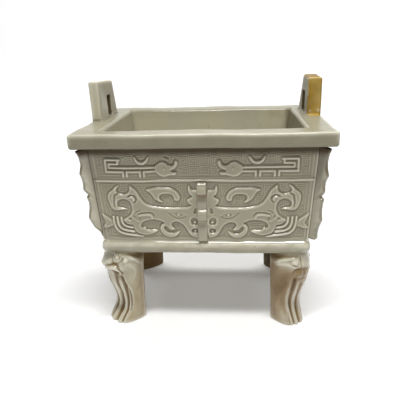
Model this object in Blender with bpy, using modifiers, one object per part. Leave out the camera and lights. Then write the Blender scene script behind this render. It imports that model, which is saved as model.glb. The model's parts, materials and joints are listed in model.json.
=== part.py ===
"""Porcelain square ding: a four-legged vessel with two upright handles, moulded and fired as one piece.

The long walls face -Y (front) and +Y (back), the short walls face -X and +X, and Z is up.
The origin is on the table, in the middle of the rim's outline. All sizes are in metres.
"""
import math

import bmesh
import bpy
from mathutils import Matrix, Vector

# Overall heights, from the soles up
LEG_HEIGHT = 0.0586
BASE_HEIGHT = 0.0105
BODY_HEIGHT = 0.0691
RIM_HEIGHT = 0.0100

# Rim: a thick flat lip that overhangs the walls
RIM_WIDTH = 0.1750
RIM_DEPTH = 0.1310
RIM_OVERHANG_SIDE = 0.0110
RIM_OVERHANG_FRONT = 0.0090
RIM_ROUNDING = 0.0024
MOUTH_CHAMFER = 0.0012

# Body: four walls that lean in a little towards the base, with a true cavity
WALL_TAPER = 0.0038
WALL_THICKNESS = 0.0073
WALL_THICKENING = 0.0030
FLOOR_THICKNESS = 0.0085

# Base moulding: a half-round band, its edges rounded by a share of its height
BASE_BULGE = 0.0026
BASE_ROUNDNESS = 0.42

# Handles: upright slabs on the short sides of the rim, with a slot through each. They sit behind the
# middle of the rim and aren't alike, as on the real one
HANDLE_FRONT_LEFT = -0.0098
HANDLE_FRONT_RIGHT = 0.0023
HANDLE_FOOT_LENGTH_LEFT = 0.0480
HANDLE_FOOT_LENGTH_RIGHT = 0.0460
HANDLE_TOP_LENGTH_LEFT = 0.0378
HANDLE_TOP_LENGTH_RIGHT = 0.0268
HANDLE_THICKNESS_LEFT = 0.0088
HANDLE_THICKNESS_RIGHT = 0.0109
HANDLE_HEIGHT_LEFT = 0.0296
HANDLE_HEIGHT_RIGHT = 0.0278
HANDLE_BACK_HEIGHT_LEFT = 0.0276
HANDLE_BACK_HEIGHT_RIGHT = 0.0290
HANDLE_SETBACK = 0.0002
HANDLE_ROUNDING = 0.0018
SLOT_FROM_FRONT_LEFT = 0.0176
SLOT_FROM_FRONT_RIGHT = 0.0116
SLOT_LENGTH_LEFT = 0.0105
SLOT_LENGTH_RIGHT = 0.0150
SLOT_HEIGHT = 0.0160
SLOT_SILL = 0.0006

# Flanges: scalloped fins on the corners, whose face towards the long wall meets the corner itself, and a
# hooked one in the middle of each long wall
FLANGE_REACH = 0.0082
FLANGE_THICKNESS = 0.0036
FLANGE_ROOT = 0.0054
CENTRE_FLANGE_WIDTH = 0.0070
CENTRE_FLANGE_REACH = 0.0046

# Legs: half-round beast legs at the corners, narrower at the foot, that face a little more to the long walls
LEG_FOOT_WIDTH = 0.0262
LEG_TOP_WIDTH = 0.0316
LEG_REACH = 0.0225
LEG_INSET = 0.0014
LEG_FACING = math.radians(51)
FLUTE_DEPTH = 0.0011
LEG_SECTION_POWER = 2.5
LEG_JOIN = 0.0012

# Relief on the walls; each stroke of a group stands one layer step above the one before it
RELIEF_HEIGHT = 0.0011
RELIEF_STEP = 0.0006
RELIEF_SINK = 0.0012
LAYER_STEP = 0.00004
DRAGON_SLIP_RIGHT = 0.0035

# The relief is drawn in millimetres from the wall's middle line and from its foot,
# for a long wall of this half width and height; the short walls have their own half width
MM = 0.001
DRAWN_HALF_WIDTH = 74.7
DRAWN_HALF_DEPTH = 58.0
DRAWN_HEIGHT = 69.1

OBJECT_NAME = "ding"
BODY_WIDTH = RIM_WIDTH - 2 * RIM_OVERHANG_SIDE
BODY_DEPTH = RIM_DEPTH - 2 * RIM_OVERHANG_FRONT
FOOT_WIDTH = BODY_WIDTH - 2 * WALL_TAPER
FOOT_DEPTH = BODY_DEPTH - 2 * WALL_TAPER
BODY_FOOT_Z = LEG_HEIGHT + BASE_HEIGHT
RIM_FOOT_Z = BODY_FOOT_Z + BODY_HEIGHT
RIM_TOP_Z = RIM_FOOT_Z + RIM_HEIGHT

# Corner flange outline: share of the wall height, share of the reach beyond the corner
FLANGE_PROFILE = (
    (0.975, 0.90), (0.92, 0.79), (0.83, 0.72), (0.765, 0.80), (0.703, 0.96), (0.632, 0.77),
    (0.544, 0.84), (0.486, 0.60), (0.466, 0.80), (0.357, 0.76), (0.245, 0.91), (0.150, 0.68),
    (0.088, 0.64), (0.030, 0.68),
)
# The front left one is a little wider at its top and worn away towards its foot
WORN_FLANGE_PROFILE = (
    (0.975, 1.00), (0.89, 0.77), (0.825, 0.77), (0.740, 1.00), (0.631, 0.85), (0.573, 0.91),
    (0.508, 0.61), (0.486, 0.74), (0.404, 0.66), (0.307, 0.87), (0.262, 0.93), (0.153, 0.58),
    (0.107, 0.22), (0.050, 0.02),
)

# Middle flange outline: share of the wall height, share of its reach
CENTRE_FLANGE_PROFILE = (
    (0.635, 0.30), (0.60, 0.72), (0.545, 0.86), (0.515, 0.80), (0.488, 0.42), (0.46, 0.62),
    (0.34, 0.66), (0.325, 0.86), (0.285, 1.00), (0.23, 0.82), (0.20, 0.40), (0.16, 0.62),
    (0.01, 0.58),
)

# Leg side profile: share of the leg height, share of the reach, how deep the flutes are there
LEG_PROFILE = (
    (0.00, 0.84, 0.5), (0.05, 0.80, 1.0), (0.14, 0.62, 1.0), (0.26, 0.50, 1.0), (0.37, 0.57, 1.0),
    (0.50, 0.74, 0.9), (0.62, 0.85, 0.3), (0.74, 0.93, 0.0), (0.82, 1.00, 0.0), (0.90, 0.88, 0.0),
    (1.00, 0.81, 0.0),
)
# Angles round the front of a leg, in degrees from its nose line, and whether a flute runs there
LEG_ROUND = (
    (-80, 0), (-64, 1), (-53, 0), (-43, 1), (-32, 0), (-21, 1), (-10, 0), (0, 1), (10, 0), (21, 1),
    (32, 0), (43, 1), (53, 0), (64, 1), (80, 0),
)
EYE_HEIGHT = 0.94
EYE_ANGLE = math.radians(36)
EYE_DISTANCE = 0.88
EYE_RADIUS = 0.0030

# Strokes of one half of the mask, as (distance from the middle line, height, width) in millimetres.
# Every wall has these, the long walls have the curl behind the eye, and the front has the finer ones too
MASK_STROKES = {
    "brow": ((8, 20.5, 13), (14, 19.4, 12.2), (21, 20.2, 10.4), (29, 20.5, 10.6), (36, 21.8, 10.4),
             (41, 24.6, 9.6), (44.8, 29.5, 8), (47.6, 36, 5.4), (49.5, 41.8, 0.6)),
    "snout": ((6, 30, 6), (6.8, 23, 8), (8.6, 15.5, 12), (8, 10.5, 9.2), (6.6, 6.6, 6.6), (4.6, 2.6, 2.4)),
    "forehead": ((5.2, 26, 6), (5.2, 32, 5), (5.2, 38.8, 5)),
    "limb": ((44.5, 26, 9), (47.6, 20, 8), (47.4, 12.6, 6), (45, 8.2, 6), (39.8, 6.4, 3.6), (33, 7.4, 0.8)),
    "horn top": ((38.7, 39.4, 0.6), (34.4, 38.5, 3.2), (28.5, 38.2, 4), (23.2, 38, 4), (19.4, 36.3, 3.9),
                 (17.6, 33.4, 3.6), (18.4, 30.8, 2)),
    "horn root": ((35, 38, 3.4), (32.8, 34.6, 5), (31.2, 31.8, 3), (29.3, 29.6, 0.6)),
    "fang": ((28, 15.6, 1.6), (29.5, 11, 2.6), (28.6, 7, 2.8), (25.8, 4.6, 2.9), (22.6, 4.1, 2.6),
             (19.8, 5, 2.2), (17.7, 7.2, 1.2)),
}
CURL_STROKES = {
    "curl": ((47.5, 33.4, 6), (54, 34.2, 4), (59.4, 33.8, 5), (62.9, 31, 6.2), (63, 27.8, 5.8),
             (60.8, 25.5, 4), (54, 25.4, 0.8)),
    "curl tip": ((62, 32.6, 5), (61.4, 37, 3.2), (58.6, 41.8, 0.6)),
}
FINE_STROKES = {
    "upper barb": ((5, 36.4, 4.2), (8.6, 36.6, 3), (9.4, 41.8, 0.6)),
    "lower barb": ((5, 30.6, 4.4), (8.4, 30, 3), (10.7, 31, 0.6)),
    "spur": ((48, 18.6, 9), (52.4, 16, 5.4), (56.2, 17.4, 1)),
    "tooth": ((23.6, 16, 4.6), (22.6, 12, 3), (21.3, 9.3, 1.2)),
    "outer feather": ((64, 18.6, 1.5), (63.6, 12.6, 1.9), (61.4, 7.6, 1.9), (57, 5.4, 1.9), (44, 3.7, 1.1)),
    "middle feather": ((61.3, 18.4, 1.5), (60.8, 12.6, 1.9), (58.4, 9, 1.9), (50.4, 7.3, 1.7)),
    "inner feather": ((58.3, 18, 1.5), (57.7, 14, 1.9), (55.4, 11.3, 1.9), (51.2, 10.6, 1.6)),
    "upper fluke": ((71.8, 20.6, 0.8), (68.3, 17.8, 2.6), (63.8, 13.8, 3.4)),
    "lower fluke": ((72.2, 10.9, 0.8), (68.3, 12.2, 2.6), (63.8, 12.8, 3.4)),
}
EYE_STROKES = {
    "eye": ((24.4, 22.8, 0.6), (20, 20.5, 4), (16, 20, 4.2), (12, 19.8, 0.6)),
}
CHEEK_STROKES = {
    "cheek ridge": ((45, 19.8, 1.6), (41, 20.6, 2), (37.3, 19.8, 2), (36.4, 17.6, 1.2)),
}
# Strokes of one crested dragon: its long body is a pair of bars with squared hooks for feet and tail
DRAGON_STROKES = {
    "skull": ((31.5, 54, 3), (29.2, 54, 7.4), (26.6, 54.2, 10), (24, 53.6, 8.8), (21.6, 53, 6),
              (20.4, 53, 3.4)),
    "upper lip": ((22.6, 55, 3.4), (19.8, 54.4, 2.6), (18, 55.8, 2.2), (17.1, 58.6, 1.4)),
    "neck bar": ((39.7, 49.2, 1.6), (39.7, 52.3, 1.6), (30, 52.7, 1.6)),
}
CREST_STROKES = {
    "lower lip": ((23.4, 50.8, 3.4), (20, 50.8, 2), (17.6, 51, 1.2)),
    "crescent": ((45.3, 62.3, 0.9), (43.6, 59, 1.6), (40.6, 58.1, 1.9), (37.8, 59.2, 1.6), (35.8, 62.2, 0.9)),
}
TAIL_STROKES = {
    "belly bar": ((51.4, 49.2, 1.6), (51.4, 52.3, 1.6), (42.3, 52.3, 1.6), (42.3, 49.2, 1.6)),
    "tail bar": ((56.4, 60.6, 1.7), (65.4, 60.6, 1.7), (65.4, 52.3, 1.7), (53.9, 52.3, 1.7), (53.9, 49.2, 1.6)),
    "back bar": ((57.1, 61, 1.7), (57.1, 57.8, 1.7), (63.1, 57.8, 1.7), (63.1, 55.1, 1.7), (31, 55.1, 1.7)),
}
SHORT_TAIL_STROKES = {
    "tail bar": ((42, 60.6, 1.7), (49.6, 60.6, 1.7), (49.6, 52.3, 1.7), (42.3, 52.3, 1.7), (42.3, 49.2, 1.6)),
    "back bar": ((42.7, 61, 1.7), (42.7, 57.8, 1.7), (47.2, 57.8, 1.7), (47.2, 55.1, 1.7), (31, 55.1, 1.7)),
}
DIVIDER_HEIGHT = 45.7
DIVIDER_WIDTH = 1.5
FRAME_INSET = 1.9
FRAME_WIDTH = 1.1


def clear_scene():
    """Remove whatever the file opened with."""
    for item in list(bpy.data.objects):
        bpy.data.objects.remove(item, do_unlink=True)


def new_collection(name):
    """A collection linked to the scene."""
    collection = bpy.data.collections.new(name)
    bpy.context.scene.collection.children.link(collection)
    return collection


def glaze_material():
    """Warm grey ivory porcelain glaze."""
    material = bpy.data.materials.new("porcelain glaze")
    material.use_nodes = True
    shader = material.node_tree.nodes["Principled BSDF"]
    shader.inputs["Base Color"].default_value = (0.60, 0.57, 0.47, 1)
    shader.inputs["Roughness"].default_value = 0.22
    shader.inputs["Metallic"].default_value = 0.0
    return material


def link(name, mesh, collection):
    """Put a mesh in a collection as an object."""
    item = bpy.data.objects.new(name, mesh)
    collection.objects.link(item)
    return item


def as_helper(item):
    """Helpers are only there to be fused or cut, so they don't render."""
    item.hide_render = True
    item.display_type = "WIRE"
    return item


def tapered_block(name, low_size, high_size, low_z, high_z, collection):
    """A cube primitive whose lower and upper ends have their own width and depth."""
    mesh = bpy.data.meshes.new(name)
    shape = bmesh.new()
    bmesh.ops.create_cube(shape, size=1.0)
    for vertex in shape.verts:
        width, depth = high_size if vertex.co.z > 0 else low_size
        vertex.co = Vector((vertex.co.x * width, vertex.co.y * depth, high_z if vertex.co.z > 0 else low_z))
    shape.to_mesh(mesh)
    shape.free()
    return link(name, mesh, collection)


def block(name, size, low_z, high_z, collection):
    """A straight block that stands from one height to another."""
    return tapered_block(name, size, size, low_z, high_z, collection)


def round_edges(item, radius, segments=2):
    """Round every sharp edge of a block."""
    bevel = item.modifiers.new("rounded edges", "BEVEL")
    bevel.width = radius
    bevel.segments = segments
    bevel.limit_method = "ANGLE"


def mitred_outline(points):
    """Both edges of a stroke whose width changes along its path, as one closed outline."""
    left, right = [], []
    for index, (x, y, width) in enumerate(points):
        before = points[max(index - 1, 0)]
        after = points[min(index + 1, len(points) - 1)]
        here = Vector((x, y))
        arrive = (here - Vector(before[:2])) if index else (Vector(after[:2]) - here)
        leave = (Vector(after[:2]) - here) if index < len(points) - 1 else arrive
        arrive.normalize()
        leave.normalize()
        along = (arrive + leave).normalized()
        across = Vector((-along.y, along.x))
        mitre = 1.0 / max(across.dot(Vector((-leave.y, leave.x))), 0.5)
        left.append(here + across * (width / 2 * mitre))
        right.append(here - across * (width / 2 * mitre))
    return left + right[::-1]


def flat_plate(name, outline, thickness, placing, collection):
    """A flat outline filled and thickened about its own plane, then made a welded mesh."""
    curve = bpy.data.curves.new(name, "CURVE")
    curve.dimensions = "2D"
    curve.fill_mode = "BOTH"
    curve.extrude = thickness / 2
    spline = curve.splines.new("POLY")
    spline.points.add(len(outline) - 1)
    for point, place in zip(spline.points, outline):
        point.co = (place[0], place[1], 0, 1)
    spline.use_cyclic_u = True
    guide = bpy.data.objects.new(name, curve)
    collection.objects.link(guide)
    guide.matrix_world = placing
    bpy.context.view_layer.update()
    mesh = bpy.data.meshes.new_from_object(guide.evaluated_get(bpy.context.evaluated_depsgraph_get()))
    mesh.name = name
    bpy.data.objects.remove(guide, do_unlink=True)
    shape = bmesh.new()
    shape.from_mesh(mesh)
    bmesh.ops.remove_doubles(shape, verts=shape.verts, dist=0.000001)
    bmesh.ops.recalc_face_normals(shape, faces=shape.faces)
    shape.to_mesh(mesh)
    shape.free()
    item = link(name, mesh, collection)
    item.matrix_world = placing
    return item


def wall_frame(turn, foot_distance, top_distance):
    """Axes on a leaning wall: X to its right as seen from outside, Y up its face, Z outward."""
    lean = (top_distance - foot_distance) / BODY_HEIGHT
    up = Vector((0, -lean, 1)).normalized()
    right = Vector((1, 0, 0))
    outward = right.cross(up)
    axes = Matrix((right, up, outward)).transposed().to_4x4()
    place = Matrix.Translation(Vector((0, -foot_distance, BODY_FOOT_Z)))
    return Matrix.Rotation(turn, 4, "Z") @ place @ axes


def add_stroke(name, points, side, frame, scale, raise_by, slip, collection):
    """One raised stroke of the relief, on one half of a wall."""
    placed = [(side * (x * scale[0] * MM - slip), y * scale[1] * MM, width * MM) for x, y, width in points]
    height = RELIEF_SINK + raise_by
    lift = Matrix.Translation(Vector((0, 0, raise_by - height / 2)))
    flat_plate(name, mitred_outline(placed), height, frame @ lift, collection)


def add_wall_relief(wall, frame, half_width, drawn_half, mask, raised, dragon, collection):
    """The dragons above, the mask below, the line between them and the frame down each edge."""
    scale = (half_width / (drawn_half * MM), BODY_HEIGHT / (DRAWN_HEIGHT * MM))
    for side in (-1, 1):
        word = "left" if side < 0 else "right"
        slip = DRAGON_SLIP_RIGHT if side > 0 and wall == "front" else 0.0
        layers = (
            (mask, RELIEF_HEIGHT, 0.0),
            (raised, RELIEF_HEIGHT + RELIEF_STEP, 0.0),
            (dragon, RELIEF_HEIGHT, slip),
        )
        for group, height, shift in layers:
            for order, (key, points) in enumerate(group.items()):
                top = height + order * LAYER_STEP
                add_stroke(f"{wall} {word} {key}", points, side, frame, scale, top, shift, collection)
        edge = drawn_half + (WALL_TAPER / 2) / MM - FRAME_INSET
        foot_edge = drawn_half - (WALL_TAPER / 2) / MM - FRAME_INSET
        line = ((edge, DRAWN_HEIGHT, FRAME_WIDTH), (foot_edge, 0, FRAME_WIDTH))
        add_stroke(f"{wall} {word} frame", line, side, frame, scale, RELIEF_STEP, 0.0, collection)
    reach = drawn_half - FRAME_INSET
    divider = ((-reach, DIVIDER_HEIGHT, DIVIDER_WIDTH), (reach, DIVIDER_HEIGHT, DIVIDER_WIDTH))
    add_stroke(f"{wall} divider", divider, 1, frame, scale, RELIEF_HEIGHT, 0.0, collection)


def add_relief(collection):
    """All four walls; the short ones keep the middle of the mask and a shorter dragon."""
    half_width = (BODY_WIDTH + FOOT_WIDTH) / 4
    half_depth = (BODY_DEPTH + FOOT_DEPTH) / 4
    back_mask = MASK_STROKES | CURL_STROKES
    front_mask = back_mask | FINE_STROKES
    back_dragon = DRAGON_STROKES | TAIL_STROKES
    front_dragon = back_dragon | CREST_STROKES
    short_dragon = DRAGON_STROKES | SHORT_TAIL_STROKES
    front_raised = EYE_STROKES | CHEEK_STROKES
    long_walls = (("front", 0, front_mask, front_raised, front_dragon),
                  ("back", math.pi, back_mask, EYE_STROKES, back_dragon))
    for wall, turn, mask, raised, dragon in long_walls:
        frame = wall_frame(turn, FOOT_DEPTH / 2, BODY_DEPTH / 2)
        add_wall_relief(wall, frame, half_width, DRAWN_HALF_WIDTH, mask, raised, dragon, collection)
    for wall, turn in (("right", math.pi / 2), ("left", -math.pi / 2)):
        frame = wall_frame(turn, FOOT_WIDTH / 2, BODY_WIDTH / 2)
        add_wall_relief(wall, frame, half_depth, DRAWN_HALF_DEPTH, MASK_STROKES, EYE_STROKES, short_dragon,
                        collection)


def add_corner_flanges(collection):
    """A scalloped fin on each corner, along the diagonal, following the leaning edge."""
    for side_x in (-1, 1):
        for side_y in (-1, 1):
            worn = side_x < 0 and side_y < 0
            profile = WORN_FLANGE_PROFILE if worn else FLANGE_PROFILE
            edge = [(reach * FLANGE_REACH + share * WALL_TAPER * math.sqrt(2), share * BODY_HEIGHT)
                    for share, reach in profile]
            root = [(-FLANGE_ROOT, profile[-1][0] * BODY_HEIGHT), (-FLANGE_ROOT, profile[0][0] * BODY_HEIGHT)]
            corner = Vector((side_x * FOOT_WIDTH / 2, side_y * FOOT_DEPTH / 2, BODY_FOOT_Z))
            corner += Vector((side_x, -side_y, 0)).normalized() * FLANGE_THICKNESS / 2
            outward = Vector((side_x, side_y, 0)).normalized()
            up = Vector((0, 0, 1))
            axes = Matrix((outward, up, outward.cross(up))).transposed().to_4x4()
            name = f"flange {'left' if side_x < 0 else 'right'} {'front' if side_y < 0 else 'back'}"
            flat_plate(name, edge + root, FLANGE_THICKNESS, Matrix.Translation(corner) @ axes, collection)


def add_centre_flanges(collection):
    """The hooked flange down the middle of the mask, on each long wall."""
    for name, turn in (("front", 0.0), ("back", math.pi)):
        frame = wall_frame(turn, FOOT_DEPTH / 2, BODY_DEPTH / 2)
        edge = [(reach * CENTRE_FLANGE_REACH, share * BODY_HEIGHT) for share, reach in CENTRE_FLANGE_PROFILE]
        root = [(-RELIEF_SINK, CENTRE_FLANGE_PROFILE[-1][0] * BODY_HEIGHT),
                (-RELIEF_SINK, CENTRE_FLANGE_PROFILE[0][0] * BODY_HEIGHT)]
        turned = Matrix(((0, 0, 1, 0), (0, 1, 0, 0), (1, 0, 0, 0), (0, 0, 0, 1)))
        flat_plate(f"centre flange {name}", edge + root, CENTRE_FLANGE_WIDTH, frame @ turned, collection)


def leg_point(angle, half, reach):
    """A point on a leg's rounded front, as distances along its facing and across it."""
    power = 2 / LEG_SECTION_POWER
    along = reach * math.cos(angle) ** power
    across = math.copysign(half * abs(math.sin(angle)) ** power, angle)
    return along, across


def leg_section(share, reach_share, flute_share):
    """Half-round outline of a leg at one height: flat inside, fluted round the front."""
    half = (LEG_FOOT_WIDTH + (LEG_TOP_WIDTH - LEG_FOOT_WIDTH) * share) / 2
    outline = [(0.0, -half)]
    for degrees, fluted in LEG_ROUND:
        angle = math.radians(degrees)
        along, across = leg_point(angle, half, LEG_REACH * reach_share)
        depth = FLUTE_DEPTH * flute_share * fluted
        outline.append((along - depth * math.cos(angle), across - depth * math.sin(angle)))
    outline.append((0.0, half))
    height = share * LEG_HEIGHT + (LEG_JOIN if share == 1 else 0.0)
    return [Vector((along, across, height)) for along, across in outline]


def leg_mesh():
    """A loft through the leg's sections, closed at the sole and at the top."""
    shape = bmesh.new()
    rings = [[shape.verts.new(point) for point in leg_section(*level)] for level in LEG_PROFILE]
    for lower, upper in zip(rings, rings[1:]):
        for index in range(len(lower)):
            following = (index + 1) % len(lower)
            shape.faces.new((lower[index], lower[following], upper[following], upper[index]))
    shape.faces.new(rings[0][::-1])
    shape.faces.new(rings[-1])
    bmesh.ops.recalc_face_normals(shape, faces=shape.faces)
    mesh = bpy.data.meshes.new("leg")
    shape.to_mesh(mesh)
    shape.free()
    return mesh


def add_eyes(leg, collection):
    """A bead on both sides of the beast's nose."""
    for word, side in (("first", -1), ("second", 1)):
        mesh = bpy.data.meshes.new(f"{leg.name} {word} eye")
        shape = bmesh.new()
        bmesh.ops.create_uvsphere(shape, u_segments=8, v_segments=4, radius=EYE_RADIUS)
        shape.to_mesh(mesh)
        shape.free()
        eye = link(mesh.name, mesh, collection)
        along, across = leg_point(side * EYE_ANGLE, LEG_TOP_WIDTH / 2, LEG_REACH * EYE_DISTANCE)
        spot = Vector((along - EYE_RADIUS / 2, across - side * EYE_RADIUS / 2, EYE_HEIGHT * LEG_HEIGHT))
        spot.rotate(leg.rotation_euler)
        eye.location = leg.location + spot


def add_legs(collection):
    """Four legs at the corners; the front ones have an eye on both sides of the beast's face."""
    shared = leg_mesh()
    for side_x in (-1, 1):
        for side_y in (-1, 1):
            facing = Vector((side_x * math.cos(LEG_FACING), side_y * math.sin(LEG_FACING), 0))
            diagonal = Vector((side_x, side_y, 0)).normalized()
            corner = Vector((side_x * (FOOT_WIDTH / 2 + BASE_BULGE), side_y * (FOOT_DEPTH / 2 + BASE_BULGE), 0))
            name = f"leg {'left' if side_x < 0 else 'right'} {'front' if side_y < 0 else 'back'}"
            leg = link(name, shared, collection)
            leg.location = corner - diagonal * (LEG_INSET + LEG_REACH)
            leg.rotation_euler.z = math.atan2(facing.y, facing.x)
            if side_y < 0:
                add_eyes(leg, collection)


def add_handles(fused, cutters):
    """Two upright slabs flush with the rim's ends, straight in front and leaning in behind, and their slots."""
    settings = (
        ("left", -1, HANDLE_THICKNESS_LEFT, HANDLE_FRONT_LEFT,
         (HANDLE_FOOT_LENGTH_LEFT, HANDLE_TOP_LENGTH_LEFT),
         (HANDLE_HEIGHT_LEFT, HANDLE_BACK_HEIGHT_LEFT),
         (SLOT_FROM_FRONT_LEFT, SLOT_LENGTH_LEFT)),
        ("right", 1, HANDLE_THICKNESS_RIGHT, HANDLE_FRONT_RIGHT,
         (HANDLE_FOOT_LENGTH_RIGHT, HANDLE_TOP_LENGTH_RIGHT),
         (HANDLE_HEIGHT_RIGHT, HANDLE_BACK_HEIGHT_RIGHT),
         (SLOT_FROM_FRONT_RIGHT, SLOT_LENGTH_RIGHT)),
    )
    for word, side, thickness, front, lengths, heights, slot_place in settings:
        foot_length, top_length = lengths
        height, back_height = heights
        slot_start, slot_length = slot_place
        centre_x = side * (RIM_WIDTH / 2 - HANDLE_SETBACK - thickness / 2)
        outline = [
            (front, RIM_TOP_Z - RIM_HEIGHT / 2),
            (front + foot_length, RIM_TOP_Z - RIM_HEIGHT / 2),
            (front + top_length, RIM_TOP_Z + back_height),
            (front, RIM_TOP_Z + height),
        ]
        upright = Matrix(((0, 0, 1, centre_x), (1, 0, 0, 0), (0, 1, 0, 0), (0, 0, 0, 1)))
        handle = flat_plate(f"handle {word}", outline, thickness, upright, fused)
        round_edges(handle, HANDLE_ROUNDING)
        slot_low = RIM_TOP_Z + SLOT_SILL
        slot = block(f"slot {word}", (thickness * 2, slot_length), slot_low, slot_low + SLOT_HEIGHT, cutters)
        slot.location = (centre_x, front + slot_start + slot_length / 2, 0)


def add_body(fused, cutters):
    """The rim, the leaning walls, the half-round base and the cutters for the cavity."""
    rim = block("rim", (RIM_WIDTH, RIM_DEPTH), RIM_FOOT_Z, RIM_TOP_Z, fused)
    round_edges(rim, RIM_ROUNDING)
    tapered_block("walls", (FOOT_WIDTH, FOOT_DEPTH), (BODY_WIDTH, BODY_DEPTH), BODY_FOOT_Z, RIM_FOOT_Z, fused)
    base_size = (FOOT_WIDTH + 2 * BASE_BULGE, FOOT_DEPTH + 2 * BASE_BULGE)
    base = block("base moulding", base_size, LEG_HEIGHT, BODY_FOOT_Z, fused)
    round_edges(base, BASE_HEIGHT * BASE_ROUNDNESS, 3)
    core_size = (FOOT_WIDTH - BASE_BULGE, FOOT_DEPTH - BASE_BULGE)
    block("core", core_size, BODY_FOOT_Z - BASE_HEIGHT / 2, RIM_FOOT_Z + RIM_HEIGHT / 2, fused)
    mouth = (BODY_WIDTH - 2 * WALL_THICKNESS, BODY_DEPTH - 2 * WALL_THICKNESS)
    foot_thickness = WALL_THICKNESS + WALL_THICKENING
    floor = (FOOT_WIDTH - 2 * foot_thickness, FOOT_DEPTH - 2 * foot_thickness)
    floor_z = LEG_HEIGHT + FLOOR_THICKNESS
    tapered_block("cavity", floor, mouth, floor_z, RIM_TOP_Z, cutters)
    chamfered = (mouth[0] + 4 * MOUTH_CHAMFER, mouth[1] + 4 * MOUTH_CHAMFER)
    chamfer_low, chamfer_high = RIM_TOP_Z - MOUTH_CHAMFER, RIM_TOP_Z + MOUTH_CHAMFER
    tapered_block("mouth chamfer", mouth, chamfered, chamfer_low, chamfer_high, cutters)
    return rim


def apply_boolean(target, operation, collection):
    """Fuse or cut everything in a collection in one step, and keep the result as the target's mesh."""
    step = target.modifiers.new(operation.lower(), "BOOLEAN")
    step.operation = operation
    step.operand_type = "COLLECTION"
    step.collection = collection
    step.solver = "EXACT"


def main():
    """Build the ding: the plain vessel first, then its hollows, then what stands on its walls."""
    clear_scene()
    model = new_collection("porcelain square ding")
    vessel = new_collection("vessel forms")
    cutters = new_collection("cutters")
    carving = new_collection("legs, flanges and relief")
    rim = add_body(vessel, cutters)
    add_handles(vessel, cutters)
    add_corner_flanges(carving)
    add_centre_flanges(carving)
    add_legs(carving)
    add_relief(carving)
    vessel.objects.unlink(rim)
    model.objects.link(rim)
    rim.name = OBJECT_NAME
    rim.data.name = OBJECT_NAME
    rim.data.materials.append(glaze_material())
    for helpers in (vessel, cutters, carving):
        for item in helpers.objects:
            as_helper(item)
    apply_boolean(rim, "UNION", vessel)
    apply_boolean(rim, "DIFFERENCE", cutters)
    apply_boolean(rim, "UNION", carving)


main()
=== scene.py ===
# %% [markdown]
# # A porcelain square ding
#
# This lesson dresses a plain, measured solid as the real thing: a rectangular incense vessel of ivory
# porcelain on four beast legs. It has a thick overhanging rim, two upright handles of unlike shape, a low
# relief of dragons and a great mask, scalloped flanges, and gold lacquer on the front of one handle.
#
# The measured solid comes in first as a frame. It stays where it is, and every modelled piece sits on it.

# %% Load the frame
import json
import math

import bmesh
import bpy
import numpy as np
from mathutils import Matrix, Vector

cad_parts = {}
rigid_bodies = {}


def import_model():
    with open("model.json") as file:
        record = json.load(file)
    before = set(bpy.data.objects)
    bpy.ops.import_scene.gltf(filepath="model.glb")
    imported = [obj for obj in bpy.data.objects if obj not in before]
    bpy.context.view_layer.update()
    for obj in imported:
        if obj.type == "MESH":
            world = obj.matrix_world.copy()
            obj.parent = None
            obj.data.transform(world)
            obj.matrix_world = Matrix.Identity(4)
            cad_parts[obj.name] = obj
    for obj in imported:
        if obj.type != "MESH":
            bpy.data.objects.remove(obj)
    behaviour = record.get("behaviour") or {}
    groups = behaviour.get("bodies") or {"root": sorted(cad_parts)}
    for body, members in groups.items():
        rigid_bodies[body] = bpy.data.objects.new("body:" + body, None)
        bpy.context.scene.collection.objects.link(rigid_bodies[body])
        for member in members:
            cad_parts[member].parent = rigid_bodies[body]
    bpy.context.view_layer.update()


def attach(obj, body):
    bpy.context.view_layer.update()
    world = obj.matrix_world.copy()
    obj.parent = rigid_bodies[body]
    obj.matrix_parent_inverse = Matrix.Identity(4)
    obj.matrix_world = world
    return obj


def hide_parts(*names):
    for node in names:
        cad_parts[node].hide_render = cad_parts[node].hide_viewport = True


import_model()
MM = 0.001

# %% [markdown]
# ## The camera
#
# The view is a photographer's: a little above the rim and a little to the right of the middle. The place,
# the turn and the focal length were found by matching the rim's corners, the handles and the feet. The focal
# length is kept in pixels of a square picture, because that is how it was found, and turned into a lens.

# %% Place the camera
FRAME_PIXELS = 400
FOCAL_PIXELS = 443.15
SENSOR = 36.0
CAMERA_PLACE = Vector((22.35, -341.46, 201.46)) * MM
CAMERA_TURN = -0.0845
CAMERA_TIP = 0.3379
CAMERA_ROLL = -0.0294

forward = Vector((math.sin(CAMERA_TURN) * math.cos(CAMERA_TIP),
                  math.cos(CAMERA_TURN) * math.cos(CAMERA_TIP), -math.sin(CAMERA_TIP)))
level = Vector((math.cos(CAMERA_TURN), -math.sin(CAMERA_TURN), 0))
upright = level.cross(forward)
right = level * math.cos(CAMERA_ROLL) + upright * math.sin(CAMERA_ROLL)
up = upright * math.cos(CAMERA_ROLL) - level * math.sin(CAMERA_ROLL)
camera_data = bpy.data.cameras.new("camera")
camera_data.sensor_width = SENSOR
camera_data.lens = FOCAL_PIXELS / FRAME_PIXELS * SENSOR
camera_data.clip_start = 0.01
camera = bpy.data.objects.new("camera", camera_data)
camera.matrix_world = Matrix.Translation(CAMERA_PLACE) @ Matrix((right, up, -forward)).transposed().to_4x4()
bpy.context.scene.collection.objects.link(camera)
bpy.context.scene.camera = camera
print("lens:", round(camera_data.lens, 2), "mm")

# %% [markdown]
# ## Sizes
#
# The sizes are in millimetres, as a potter would note them. The rim is the widest level, the walls lean in
# towards the base, and the base moulding stands out again over the legs. The wall relief is drawn with the
# distance from the wall's middle line and the height above the table, so a point can be read off the vessel.

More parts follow.
